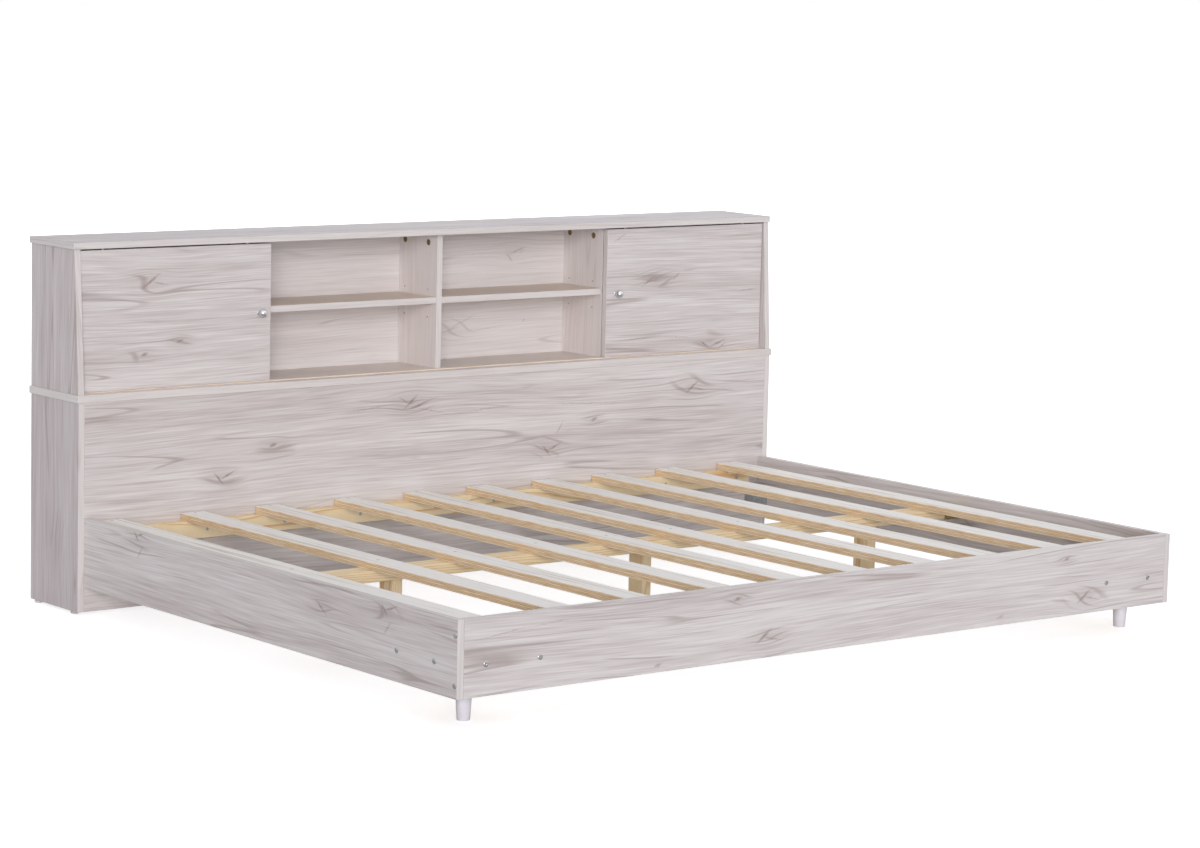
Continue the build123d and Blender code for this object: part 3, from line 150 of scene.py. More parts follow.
def streaks(tree, place, size, layer=0, detail=2):
    """Soft noise in streaks of the given size, in mm along the three axes. Each layer is another pattern."""
    spread = add_node(
        tree, "Mapping", {0: place, "Location": (0, 0, layer), "Scale": [1 / (side * MM) for side in size]}
    )
    return add_node(tree, "TexNoise", {"Vector": spread, "Scale": 1, "Detail": detail})


def level_lines(tree, field, core, edge, depth):
    """Thin lines where a field passes one half, from full depth inside core to none at edge."""
    away = add_node(tree, "Math", {0: field, 1: 0.5}, operation="SUBTRACT")
    away = add_node(tree, "Math", {0: away}, operation="ABSOLUTE")
    return add_node(tree, "MapRange", {"Value": away, 1: core, 2: edge, 3: depth, 4: 0})


def board_frame(tree, grain, across, face):
    """Board coordinates from the object's: along the grain, across it, and 1 on the board's narrow faces."""
    depth = AXES[3 - AXES.index(grain) - AXES.index(across)]
    where = add_node(tree, "TexCoord")
    place = add_node(tree, "SeparateXYZ", {0: where.outputs["Object"]})
    facing = add_node(tree, "SeparateXYZ", {0: where.outputs["Normal"]})
    turned = add_node(tree, "Math", {0: facing.outputs[grain]}, operation="ABSOLUTE")
    end = add_node(tree, "Math", {0: turned, 1: SQUARE}, operation="GREATER_THAN")
    sideways = add_node(tree, "Math", {0: facing.outputs[depth]}, operation="ABSOLUTE")
    narrow = add_node(tree, "Math", {0: sideways, 1: SQUARE}, operation="LESS_THAN")
    inward = add_node(tree, "Math", {0: place.outputs[depth], 1: face * MM}, operation="SUBTRACT")
    spread = add_node(tree, "Math", {0: place.outputs[across], 1: inward}, operation="ADD")
    along = add_node(tree, "Mix", {0: end, 2: place.outputs[grain], 3: place.outputs[across]})
    over = add_node(tree, "Mix", {0: end, 2: spread, 3: inward})
    return along, over, narrow


def laminate(name, grain, across, face, seed, knots=(), strokes=(), lighting_tint=None):
    """Melamine-faced chipboard with a printed whitewashed oak decor, pressed with a fine wood grain.

    The print gives soft grey and cream streaks along the board that bend round knots, a few thin dark cracks
    and slanted knot marks. The surface is dull satin, and the narrow faces are a shade lighter than the
    broad ones: the edge tape's own tone with a painted highlight on the edges.
    Knots are (along, across, half length, half width) and strokes (along, across, length, width, degrees,
    darkness), all in mm in the model's own coordinates. The tint is painted light and shade: the colour that
    its broad faces go to, and how far, in place of how the light falls on them.
    """
    look = bpy.context.scene.daybed_laminate
    material, tree, shader = new_material(name)
    along, over, narrow = board_frame(tree, grain, across, face)
    flat = add_node(tree, "CombineXYZ", {0: along, 1: over, 2: seed})

    # The streaks wander across the board and bend round the knots.
    sway = streaks(tree, flat, WANDER, detail=1)
    line = add_node(tree, "Math", {0: sway, 1: SWAY * MM, 2: over}, operation="MULTIPLY_ADD")
    halo = None
    for u, v, half_length, half_width in knots:
        knot_place = add_node(
            tree, "Mapping",
            {0: flat, "Location": (u * MM, v * MM, seed), "Scale": (half_length * MM, half_width * MM, 1)},
            vector_type="TEXTURE",
        )
        swell = add_node(tree, "TexGradient", {0: knot_place}, gradient_type="QUADRATIC_SPHERE")
        off = add_node(tree, "Math", {0: line, 1: (v + SWAY / 2) * MM}, operation="SUBTRACT")
        push = add_node(tree, "Math", {0: off, 1: swell}, operation="MULTIPLY")
        line = add_node(tree, "Math", {0: push, 1: -KNOT_PUSH, 2: line}, operation="MULTIPLY_ADD")
        halo = swell if halo is None else add_node(tree, "Math", {0: halo, 1: swell}, operation="MAXIMUM")
    grained = add_node(tree, "CombineXYZ", {0: along, 1: line, 2: seed})

    # Broad tones, bands and fibres. Real fibres are under 1 mm wide, too fine to show, so they are drawn
    # as coarse as they need to be.
    tone = streaks(tree, grained, TONE)
    band = streaks(tree, grained, BAND, layer=5, detail=3)
    fibre = streaks(tree, grained, FIBRE, layer=9)
    mixed = add_node(tree, "Mix", {0: 0.5, 2: tone, 3: band})
    mixed = add_node(tree, "Mix", {0: 0.42, 2: mixed, 3: fibre})
    shade = add_node(tree, "ValToRGB", {0: mixed}, stops=(
        (0.37, look.streak), (0.455, look.mid), (0.535, look.ground), (0.63, look.light),
    ))

    # Cracks of the print: level lines of a slow field, 1 to 2 mm wide and broken.
    crack = level_lines(
        tree, streaks(tree, grained, CRACK, layer=13, detail=0), 0.008, 0.032, look.crack_depth
    )
    broken = add_node(
        tree, "MapRange", {"Value": streaks(tree, grained, BREAK, layer=21, detail=1), 1: 0.5, 2: 0.6}
    )
    crack = add_node(tree, "Math", {0: crack, 1: broken}, operation="MULTIPLY")
    shade = add_node(tree, "Mix", {0: crack, 6: shade, 7: linear(look.crack)}, data_type="RGBA")

    # Round a knot the print is a little darker, in streaks, with growth-ring lines about 8 mm apart.
    if halo is not None:
        haze = add_node(tree, "Math", {0: halo, 1: band}, operation="MULTIPLY")
        haze = add_node(tree, "Math", {0: haze, 1: look.haze}, operation="MULTIPLY")
        shade = add_node(tree, "Mix", {0: haze, 6: shade, 7: linear(look.crack)}, data_type="RGBA")
        ring = streaks(tree, grained, RING, layer=29, detail=0)
        ring = add_node(tree, "Math", {0: ring, 1: RINGS}, operation="MULTIPLY")
        ring = level_lines(
            tree, add_node(tree, "Math", {0: ring}, operation="FRACT"), 0.04, 0.16, look.ring_depth
        )
        near = add_node(tree, "MapRange", {"Value": halo, 1: 0.05, 2: 0.4})
        ring = add_node(tree, "Math", {0: ring, 1: near}, operation="MULTIPLY")
        shade = add_node(tree, "Mix", {0: ring, 6: shade, 7: linear(look.crack)}, data_type="RGBA")

    # Knot marks: short slanted strokes with ragged edges.
    rag = streaks(tree, flat, (RAG, RAG, RAG), detail=1)
    rag = add_node(tree, "VectorMath", {0: rag.outputs["Color"], 1: (0.5, 0.5, 0.5)}, operation="SUBTRACT")
    ragged = add_node(
        tree, "VectorMath", {0: rag, 1: (RAG * MM, RAG * MM, 0), 2: flat}, operation="MULTIPLY_ADD"
    )
    dark = None
    for u, v, length, width, degrees, darkness in strokes:
        stroke_place = add_node(
            tree, "Mapping",
            {
                0: ragged,
                "Location": (u * MM, v * MM, seed),
                "Rotation": (0, 0, math.radians(degrees)),
                "Scale": (length / 2 * MM, width / 2 * MM, 1),
            },
            vector_type="TEXTURE",
        )
        stroke = add_node(tree, "TexGradient", {0: stroke_place}, gradient_type="SPHERICAL")
        stroke = add_node(tree, "Math", {0: stroke, 1: darkness}, operation="MULTIPLY")
        if dark is not None:
            stroke = add_node(tree, "Math", {0: stroke, 1: dark}, operation="MAXIMUM")
        dark = stroke
    if dark is not None:
        shade = add_node(tree, "Mix", {0: dark, 6: shade, 7: linear(look.knot)}, data_type="RGBA")

    # The tint is painted light and shade: the broad faces go lighter or darker to stand for how the light
    # falls on them.
    if lighting_tint is not None:
        colour, amount = lighting_tint
        painted_light_share = add_node(tree, "MapRange", {"Value": narrow, 3: amount, 4: 0})
        shade = add_node(tree, "Mix", {0: painted_light_share, 6: shade, 7: linear(colour)}, data_type="RGBA")
    # Narrow faces go lighter: the edge tape's own tone with a painted highlight on the edges.
    tape_and_highlight_mix = add_node(tree, "Math", {0: narrow, 1: look.tape_and_highlight_share}, operation="MULTIPLY")
    shade = add_node(tree, "Mix", {0: tape_and_highlight_mix, 6: shade, 7: linear(look.tape)}, data_type="RGBA")
    tree.links.new(shade.outputs[2], shader.inputs["Base Color"])

    sheen = add_node(tree, "MapRange", {"Value": mixed, 1: 0.35, 2: 0.65, 3: 0.56, 4: 0.44})
    tree.links.new(sheen.outputs[0], shader.inputs["Roughness"])
    relief = add_node(tree, "Bump", {"Height": mixed, "Distance": 0.4 * MM, "Strength": 0.5})
    tree.links.new(relief.outputs[0], shader.inputs["Normal"])
    shader.inputs["IOR"].default_value = 1.5
    shader.inputs["Specular IOR Level"].default_value = 0.35
    return material


def plywood(name, grain, thickness, face_colours):
    """Plywood: faces of one veneer, and sawn edges that show plies of the given thickness in mm.

    The edges give pale tan layers with thin brown glue lines, every other layer darker where it is end grain.
    """
    look = bpy.context.scene.daybed_timber
    material, tree, shader = new_material(name)
    where = add_node(tree, "TexCoord")
    place = add_node(tree, "SeparateXYZ", {0: where.outputs["Object"]})
    facing = add_node(tree, "SeparateXYZ", {0: where.outputs["Normal"]})
    level = add_node(tree, "Math", {0: facing.outputs["Z"]}, operation="ABSOLUTE")
    faced = add_node(tree, "Math", {0: level, 1: SQUARE}, operation="GREATER_THAN")
    face_grain = streaks(tree, where.outputs["Object"], lengthwise(grain, 290, 7), detail=3)
    face = add_node(tree, "ValToRGB", {0: face_grain}, stops=face_colours)

    # The glue lines wave by up to 0.9 mm with the cut fibres.
    fibre = streaks(tree, where.outputs["Object"], lengthwise("Z", 2.4, 40))
    wave = add_node(tree, "Math", {0: fibre, 1: 0.9 * MM, 2: place.outputs["Z"]}, operation="MULTIPLY_ADD")
    ply = add_node(tree, "Math", {0: wave, 1: 1 / (thickness * MM)}, operation="MULTIPLY")
    half = add_node(tree, "Math", {0: ply, 1: 0.5}, operation="MULTIPLY")
    half = add_node(tree, "Math", {0: half}, operation="FRACT")
    ends = add_node(tree, "Math", {0: half, 1: 0.5}, operation="GREATER_THAN")
    glue = add_node(tree, "Math", {0: ply}, operation="FRACT")
    glue = add_node(tree, "Math", {0: glue, 1: look.glue_share}, operation="LESS_THAN")
    edge = add_node(
        tree, "ValToRGB", {0: fibre}, stops=((0.3, look.ply_dark), (0.5, look.ply), (0.7, look.ply_light))
    )
    end_tone = add_node(tree, "Math", {0: ends, 1: 0.3}, operation="MULTIPLY")
    edge = add_node(tree, "Mix", {0: end_tone, 6: edge, 7: linear(look.ply_end)}, data_type="RGBA")
    glue_tone = add_node(tree, "Math", {0: glue, 1: 0.7}, operation="MULTIPLY")
    edge = add_node(tree, "Mix", {0: glue_tone, 6: edge, 7: linear(look.glue_line)}, data_type="RGBA")
    shade = add_node(tree, "Mix", {0: faced, 6: edge, 7: face}, data_type="RGBA")
    tree.links.new(shade.outputs[2], shader.inputs["Base Color"])
    relief = add_node(tree, "Bump", {"Height": face_grain, "Distance": 0.4 * MM, "Strength": 0.4})
    tree.links.new(relief.outputs[0], shader.inputs["Normal"])
    shader.inputs["Roughness"].default_value = 0.62
    shader.inputs["Specular IOR Level"].default_value = 0.3
    return material


def pine(name, grain, pith, colours):
    """Planed softwood, unfinished: pale earlywood and orange latewood lines from growth rings 4 mm apart.

    The rings run round a pith outside the piece, so long faces show flowing lines and sawn ends show arcs.
    """
    ring_gap, wobble, taper = 4, 50 * MM, 0.02
    material, tree, shader = new_material(name)
    where = add_node(tree, "TexCoord")
    sway = streaks(tree, where.outputs["Object"], lengthwise(grain, 900, 110))
    sway = add_node(tree, "VectorMath", {0: sway.outputs["Color"], 1: (0.5, 0.5, 0.5)}, operation="SUBTRACT")
    bent = add_node(
        tree, "VectorMath", {0: sway, 1: (wobble, wobble, wobble), 2: where.outputs["Object"]},
        operation="MULTIPLY_ADD",
    )
    flat = lengthwise(grain, taper, 1)
    from_pith = add_node(tree, "Mapping", {0: bent, "Location": [-c * MM for c in pith], "Scale": flat})
    radius = add_node(tree, "VectorMath", {0: from_pith}, operation="LENGTH")
    rings = add_node(tree, "Math", {0: radius.outputs["Value"], 1: 1 / (ring_gap * MM)}, operation="MULTIPLY")
    rings = add_node(tree, "Math", {0: rings}, operation="FRACT")
    fibre = streaks(tree, where.outputs["Object"], lengthwise(grain, 170, 3.3))
    mixed = add_node(tree, "Mix", {0: 0.3, 2: rings, 3: fibre})
    shade = add_node(tree, "ValToRGB", {0: mixed}, stops=colours)
    tree.links.new(shade.outputs[0], shader.inputs["Base Color"])
    relief = add_node(tree, "Bump", {"Height": fibre, "Distance": 0.4 * MM, "Strength": 0.3})
    tree.links.new(relief.outputs[0], shader.inputs["Normal"])
    shader.inputs["Roughness"].default_value = 0.6
    shader.inputs["Specular IOR Level"].default_value = 0.3
    return material


def plated(name, colours, roughness, speck_mm):
    """Plated steel: a metal whose tone and gloss vary a little over patches of the given size."""
    material, tree, shader = new_material(name)
    where = add_node(tree, "TexCoord")
    patch = streaks(tree, where.outputs["Object"], (speck_mm, speck_mm, speck_mm), detail=3)
    shade = add_node(tree, "ValToRGB", {0: patch}, stops=colours)
    tree.links.new(shade.outputs[0], shader.inputs["Base Color"])
    gloss = add_node(tree, "MapRange", {"Value": patch, 1: 0.3, 2: 0.7, 3: roughness[0], 4: roughness[1]})
    tree.links.new(gloss.outputs[0], shader.inputs["Roughness"])
    shader.inputs["Metallic"].default_value = 1.0
    return material


def moulded(name, colours, roughness, speck_mm):
    """A plain coat or moulded plastic: slight cloudiness in its tone and a fine orange peel in its gloss."""
    material, tree, shader = new_material(name)
    where = add_node(tree, "TexCoord")
    cloud = streaks(tree, where.outputs["Object"], (speck_mm, speck_mm, speck_mm), detail=3)
    shade = add_node(tree, "ValToRGB", {0: cloud}, stops=colours)
    tree.links.new(shade.outputs[0], shader.inputs["Base Color"])
    gloss = add_node(tree, "MapRange", {"Value": cloud, 1: 0.3, 2: 0.7, 3: roughness[0], 4: roughness[1]})
    tree.links.new(gloss.outputs[0], shader.inputs["Roughness"])
    relief = add_node(tree, "Bump", {"Height": cloud, "Distance": 0.2 * MM, "Strength": 0.2})
    tree.links.new(relief.outputs[0], shader.inputs["Normal"])
    shader.inputs["IOR"].default_value = 1.5
    return material


# Turned pieces


def arc_chain(bm, start, centre, degrees, steps):
    """An arc in the XZ plane, spun from one vertex; returns its last vertex."""
    first = bm.verts.new(start)
    made = bmesh.ops.spin(
        bm, geom=[first], cent=centre, axis=(0, 1, 0), angle=math.radians(degrees), steps=steps
    )
    return next(v for v in made["geom_last"] if isinstance(v, bmesh.types.BMVert))


def line_chain(bm, start, points):
    """Straight edges through points in the XZ plane, from a vertex or from the first point."""
    last = start
    for radius, height in points:
        point = bm.verts.new((radius, 0, height))
        if last is not None:
            bm.edges.new((last, point))
        last = point


def turn(bm, steps):
    """Spins the whole chain once round Z into a closed solid."""
    bmesh.ops.spin(
        bm, geom=bm.verts[:] + bm.edges[:], cent=(0, 0, 0), axis=(0, 0, 1),
        angle=math.tau, steps=steps, use_merge=True,
    )
    bmesh.ops.remove_doubles(bm, verts=bm.verts, dist=SAME_SPOT)
    bmesh.ops.recalc_face_normals(bm, faces=bm.faces)


def ring_edges(bm, radius, height):
    """The edges of one ring of a turned piece."""
    found = []
    for edge in bm.edges:
        if all(
            abs(v.co.z - height) < SAME_RING and abs(math.hypot(v.co.x, v.co.y) - radius) < SAME_RING
            for v in edge.verts
        ):
            found.append(edge)
    return found


def round_ring(bm, radius, height, offset):
    """Rounds one ring of a turned piece."""
    bmesh.ops.bevel(
        bm, geom=ring_edges(bm, radius, height), offset=offset, offset_type="OFFSET",
        affect="EDGES", segments=3, profile=0.5, material=-1,
    )


def repeat(bm, places):
    """Copies the piece to each place and takes the first one away."""
    first = bm.verts[:] + bm.edges[:] + bm.faces[:]
    for place in places:
        made = bmesh.ops.duplicate(bm, geom=first)
        copied = [v for v in made["geom"] if isinstance(v, bmesh.types.BMVert)]
        bmesh.ops.transform(bm, matrix=place, verts=copied)
    bmesh.ops.delete(bm, geom=[v for v in first if isinstance(v, bmesh.types.BMVert)], context="VERTS")


def new_piece(name, bm, material, body, node):
    """Makes the piece, lets it ride on its body and stand for its CAD node."""
    mesh = bpy.data.meshes.new(name)
    bm.to_mesh(mesh)
    bm.free()
    mesh.materials.append(material)
    mesh.set_sharp_from_angle(angle=math.radians(40))
    piece = bpy.data.objects.new(name, mesh)
    bpy.context.scene.collection.objects.link(piece)
    for polygon in mesh.polygons:
        polygon.use_smooth = True
    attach(piece, body)
    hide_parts(node)


# Settings


class DaybedLaminate(bpy.types.PropertyGroup):
    """Colours of the whitewashed oak laminate."""

    ground: bpy.props.StringProperty(
        name="Ground", description="Main tone of the print, sRGB hex", default="#D0CAC8"
    )
    mid: bpy.props.StringProperty(name="Middle", description="Middle tone of the print", default="#C6BEBC")
    streak: bpy.props.StringProperty(name="Streak", description="Tone of the dark streaks", default="#B8AFAD")
    light: bpy.props.StringProperty(name="Light", description="Tone of the pale streaks", default="#DAD6D3")
    crack: bpy.props.StringProperty(name="Crack", description="Tone of the thin lines", default="#9C8F8A")
    knot: bpy.props.StringProperty(name="Knot", description="Tone of the knot marks", default="#827067")
    # The edge tone and how far the edges go to it: the tape's own tone with a painted highlight on the edges.
    tape: bpy.props.StringProperty(name="Edge tape", description="Tone of the edge tape", default="#DAD6D2")
    tape_and_highlight_share: bpy.props.FloatProperty(
        name="Tape lightness", description="How far the edges go to the tape's tone", default=0.5,
        min=0, max=1, subtype="FACTOR",
    )
    crack_depth: bpy.props.FloatProperty(
        name="Crack depth", description="Darkness of the thin cracks", default=0.6, min=0, max=1,
        subtype="FACTOR",
    )
    ring_depth: bpy.props.FloatProperty(
        name="Ring depth", description="Darkness of the growth-ring lines", default=0.6, min=0, max=1,
        subtype="FACTOR",
    )
    haze: bpy.props.FloatProperty(
        name="Haze", description="Darkness of the print round knots", default=0.55, min=0, max=1,
        subtype="FACTOR",
    )


class DaybedTimber(bpy.types.PropertyGroup):
    """Colours of the plywood and pine."""

    slat_face: bpy.props.StringProperty(
        name="Slat face", description="Slat face veneer, sRGB hex", default="#F2EFE9"
    )
    ply: bpy.props.StringProperty(name="Ply", description="Ply edge, middle tone", default="#ECD6B4")
    ply_light: bpy.props.StringProperty(
        name="Ply, light", description="Ply edge, light tone", default="#F3E4CA"
    )
    ply_dark: bpy.props.StringProperty(name="Ply, dark", description="Ply edge, dark tone", default="#DDC096")
    ply_end: bpy.props.StringProperty(name="Ply, end grain", description="End-grain plies", default="#C9A274")
    glue_line: bpy.props.StringProperty(
        name="Glue line", description="Lines between plies", default="#A0714A"
    )
    glue_share: bpy.props.FloatProperty(
        name="Glue share", description="Share of a ply that its glue line takes", default=0.2, min=0, max=1,
        subtype="FACTOR",
    )
    pine_early: bpy.props.StringProperty(
        name="Earlywood", description="Pale part of a ring", default="#F0DCB6"
    )
    pine_late: bpy.props.StringProperty(name="Latewood", description="Dark part of a ring", default="#D4A873")


class DaybedSizes(bpy.types.PropertyGroup):
    """Sizes of the turned pieces."""

    knob_ball: bpy.props.FloatProperty(
        name="Knob ball", description="Diameter of the knob's ball", default=19 * MM, subtype="DISTANCE",
        unit="LENGTH",
    )
    knob_reach: bpy.props.FloatProperty(
        name="Knob reach", description="From the door's face to the knob's tip", default=23 * MM,
        subtype="DISTANCE", unit="LENGTH",
    )
    foot_bottom: bpy.props.FloatProperty(
        name="Foot bottom", description="Diameter at the floor", default=26 * MM, subtype="DISTANCE",
        unit="LENGTH",
    )
    foot_top: bpy.props.FloatProperty(
        name="Foot top", description="Diameter under the plate", default=36 * MM, subtype="DISTANCE",
        unit="LENGTH",
    )
    bolt_head: bpy.props.FloatProperty(
        name="Bolt head", description="Diameter of the bolt heads", default=12 * MM, subtype="DISTANCE",
        unit="LENGTH",
    )


class DaybedStage(bpy.types.PropertyGroup):
    """Camera and lights."""

    lens: bpy.props.FloatProperty(
        name="Lens", description="Focal length in mm", default=108.889, subtype="DISTANCE_CAMERA"
    )
    azimuth: bpy.props.FloatProperty(
        name="Azimuth", description="Camera angle round the object", default=math.radians(-38.594),
        subtype="ANGLE",
    )
    pitch: bpy.props.FloatProperty(
        name="Pitch", description="Camera angle above the horizon", default=math.radians(7.673),
        subtype="ANGLE",
    )
    roll: bpy.props.FloatProperty(
        name="Roll", description="Camera tilt about its own axis", default=math.radians(1.367),
        subtype="ANGLE",
    )
    distance: bpy.props.FloatProperty(
        name="Distance", description="From the camera to its target", default=8.1043, subtype="DISTANCE",
        unit="LENGTH",
    )
    target: bpy.props.FloatVectorProperty(
        name="Target", description="Point the camera looks at", default=(0, 0.01646, 0.42856),
        subtype="TRANSLATION",
    )
    sky: bpy.props.FloatProperty(name="Sky", description="Strength of the even light", default=0.42)
    front: bpy.props.FloatProperty(
        name="Front light", description="Strength of the light beside the camera", default=1.9
    )
    top: bpy.props.FloatProperty(name="Top light", description="Strength of the light above", default=0.45)
    back: bpy.props.FloatProperty(name="Back light", description="Strength of the light behind", default=0.8)


SETTINGS = {
    "daybed_laminate": DaybedLaminate,
    "daybed_timber": DaybedTimber,
    "daybed_sizes": DaybedSizes,
    "daybed_stage": DaybedStage,
}


# Pieces

# Knot marks of the print, as strokes: along, across, length, width, degrees, darkness.
BACK_STROKES = (
    (321, 725, 34, 6, -44, 1.0), (347, 742, 62, 6, 18, 0.9), (358, 738, 24, 4, 22, 0.8),
    (182, 574, 130, 7, 22, 0.45), (146, 556, 60, 6, 14, 0.7), (155, 548, 46, 4, -22, 0.6),
    (250, 554, 180, 4, 5, 0.5), (369, 569, 12, 8, 35, 0.8), (213, 737, 190, 3, 0, 0.35),
    (440, 640, 60, 4, 4, 0.5), (-608, 590, 70, 6, -40, 0.8),
)
PANEL_STROKES = (
    (-109, 419, 60, 8, 40, 0.8), (-92, 408, 70, 6, 12, 0.7), (-130, 424, 40, 5, -30, 0.6),
    (747, 404, 60, 8, 35, 0.8), (770, 398, 60, 5, -14, 0.6),
    (293, 277, 44, 7, -48, 0.9), (318, 284, 62, 6, 24, 0.8), (334, 330, 50, 6, 55, 0.45),
    (439, 343, 26, 10, 20, 0.8), (-492, 343, 26, 10, 20, 0.8), (-637, 277, 44, 7, -48, 0.9),
    (-612, 284, 62, 6, 24, 0.8), (-220, 411, 200, 4, 5, 0.5), (-50, 395, 120, 4, -12, 0.45),
    (110, 389, 210, 4, 3, 0.5), (410, 384, 380, 4, -3, 0.45),
)
FRONT_RAIL_STROKES = (
    (-212, 105, 60, 9, 35, 0.8), (-190, 98, 60, 6, -12, 0.6), (717, 99, 60, 9, 35, 0.8),
    (740, 93, 56, 5, -12, 0.6),
    (-285, 189, 26, 9, 20, 0.7), (659, 187, 26, 9, 20, 0.7), (-490, 75, 28, 8, 15, 0.6),
    (461, 78, 28, 8, 15, 0.6),
    (-880, 178, 160, 3, 7, 0.5), (-760, 188, 120, 3, 4, 0.45),
)
LEFT_RAIL_STROKES = (
    (371, 208, 34, 6, 48, 1.0), (350, 213, 54, 6, -18, 0.8), (-557, 196, 34, 6, 48, 1.0),
    (-580, 202, 54, 6, -18, 0.8),
    (354, 173, 46, 7, -50, 0.5), (-568, 161, 46, 7, -50, 0.5), (-338, 166, 60, 8, 35, 0.7),
)
LEFT_DOOR_STROKES = (
    (-804, 728, 70, 8, 35, 0.8), (-780, 722, 60, 5, -10, 0.6), (-820, 565, 28, 9, 25, 0.7),
    (-727, 591, 28, 8, 20, 0.6),
)
RIGHT_DOOR_STROKES = (
    (803, 506, 34, 6, -32, 1.0), (847, 507, 66, 6, 17, 0.9), (862, 500, 40, 4, 30, 0.6),
    (620, 671, 62, 6, 32, 0.7), (706, 679, 32, 6, 42, 0.6), (748, 694, 50, 4, 4, 0.5),
    (526, 781, 54, 5, 29, 0.5), (939, 636, 80, 4, 4, 0.6), (575, 530, 160, 3, 2, 0.45),
    (713, 528, 130, 3, -4, 0.5),
)

# The laminate boards: name, nodes, grain, across, place of the face that shows, seed, knots, strokes, tint.
# The tints are painted shade, darker on the top and the sides, and painted light, lighter on the deck,
# shelves and dividers.
BOARDS = (
    (
        "laminate_top", ("top_panel",), "X", "Y", 820, 1.3,
        ((-420, 690, 130, 60), (610, 700, 120, 50)), (), ("#9A949C", 0.35),
    ),
    ("laminate_deck", ("deck_panel",), "X", "Y", 486.5, 2.7, ((-300, 700, 130, 60),), (), ("#E4DAD3", 0.8)),
    (
        "laminate_upper_sides", ("upper_side_left", "upper_side_right"), "Z", "Y", -1000, 3.1, (), (),
        ("#A89CA0", 0.18),
    ),
    (
        "laminate_lower_sides", ("lower_side_left", "lower_side_right"), "Z", "Y", -1000, 4.9,
        ((160, 680, 130, 50),), (), ("#A4989C", 0.25),
    ),
    ("laminate_divider_left", ("divider_left",), "Z", "Y", -503.75, 5.2, (), (), ("#EEE7E4", 0.5)),
    ("laminate_divider_centre", ("divider_centre",), "Z", "Y", -7.5, 6.8, (), (), ("#EEE7E4", 0.5)),
    ("laminate_divider_right", ("divider_right",), "Z", "Y", 488.75, 7.4, (), (), ("#EEE7E4", 0.5)),
    (
        "laminate_panel", ("lower_front_panel",), "X", "Z", FRONT_FACE, 8.6,
        (
            (-109, 415, 120, 60), (747, 402, 120, 60), (300, 285, 100, 45), (439, 343, 70, 30),
            (-492, 343, 70, 30), (-630, 280, 100, 45),
        ),
        PANEL_STROKES,
    ),
    (
        "laminate_door_left", ("door_left",), "X", "Z", DOOR_FACE, 9.1,
        ((-804, 725, 110, 55), (-820, 565, 70, 30), (-727, 591, 60, 30)), LEFT_DOOR_STROKES,
    ),
    (
        "laminate_door_right", ("door_right",), "X", "Z", DOOR_FACE, 10.7,
        ((820, 512, 100, 45), (640, 675, 110, 50)), RIGHT_DOOR_STROKES,
    ),
    ("laminate_shelf_left", ("shelf_left",), "X", "Y", 656, 11.3, (), (), ("#E4D3C1", 0.8)),
    ("laminate_shelf_right", ("shelf_right",), "X", "Y", 656, 12.9, (), (), ("#E4D3C1", 0.8)),
    (
        "laminate_rail_left", ("side_rail_left",), "Y", "Z", -SIDE_FACE, 13.2,
        ((365, 200, 90, 40), (-560, 190, 90, 40), (-338, 166, 80, 35)), LEFT_RAIL_STROKES,
    ),
    (
        "laminate_rail_right", ("side_rail_right",), "Y", "Z", SIDE_FACE, 14.5,
        ((-180, 120, 100, 45), (300, 170, 90, 40)), (),
    ),
    (
        "laminate_rail_front", ("front_rail",), "X", "Z", RAIL_FACE, 15.8,
        ((-205, 103, 110, 45), (722, 98, 110, 45), (-285, 189, 60, 25), (659, 187, 60, 25)),
        FRONT_RAIL_STROKES,
    ),
)


class DAYBED_OT_boards(bpy.types.Operator):
    """Finish the laminate boards of the bookcase and the rails"""

    bl_idname = "daybed.boards"
    bl_label = "Laminate boards"

    def execute(self, context):
        for name, nodes, *board in BOARDS:
            finish_nodes(nodes, laminate(name, *board))
        # Its tint is painted light: the back is made lighter to stand for light in the compartments.
        back = laminate(
            "paper_faced_fibreboard", "X", "Z", BACK_FACE, 16.4,
            ((325, 735, 110, 50), (150, 555, 120, 50), (-608, 590, 100, 45)), BACK_STROKES, ("#EAE6E4", 0.35),
        )
        finish_nodes(("upper_back_panel",), back)
        return {"FINISHED"}


class DAYBED_OT_slats(bpy.types.Operator):
    """Finish the plywood slats and foot plates"""

    bl_idname = "daybed.slats"
    bl_label = "Plywood slats"

    def execute(self, context):
        look = context.scene.daybed_timber
        slats = [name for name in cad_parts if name.startswith("slat_") and name != "slat_screws"]
        faces = ((0.32, "#D8CFC2"), (0.45, look.slat_face), (0.7, "#F4F2ED"))
        finish_nodes(slats, plywood("paper_faced_poplar_plywood", "Y", 3.4, faces))
        bare = ((0.3, look.ply_dark), (0.5, look.ply), (0.7, look.ply_light))
        finish_nodes(
            ("foot_plate_left", "foot_plate_right"), plywood("sanded_birch_plywood", "X", 3, bare),
        )
        return {"FINISHED"}


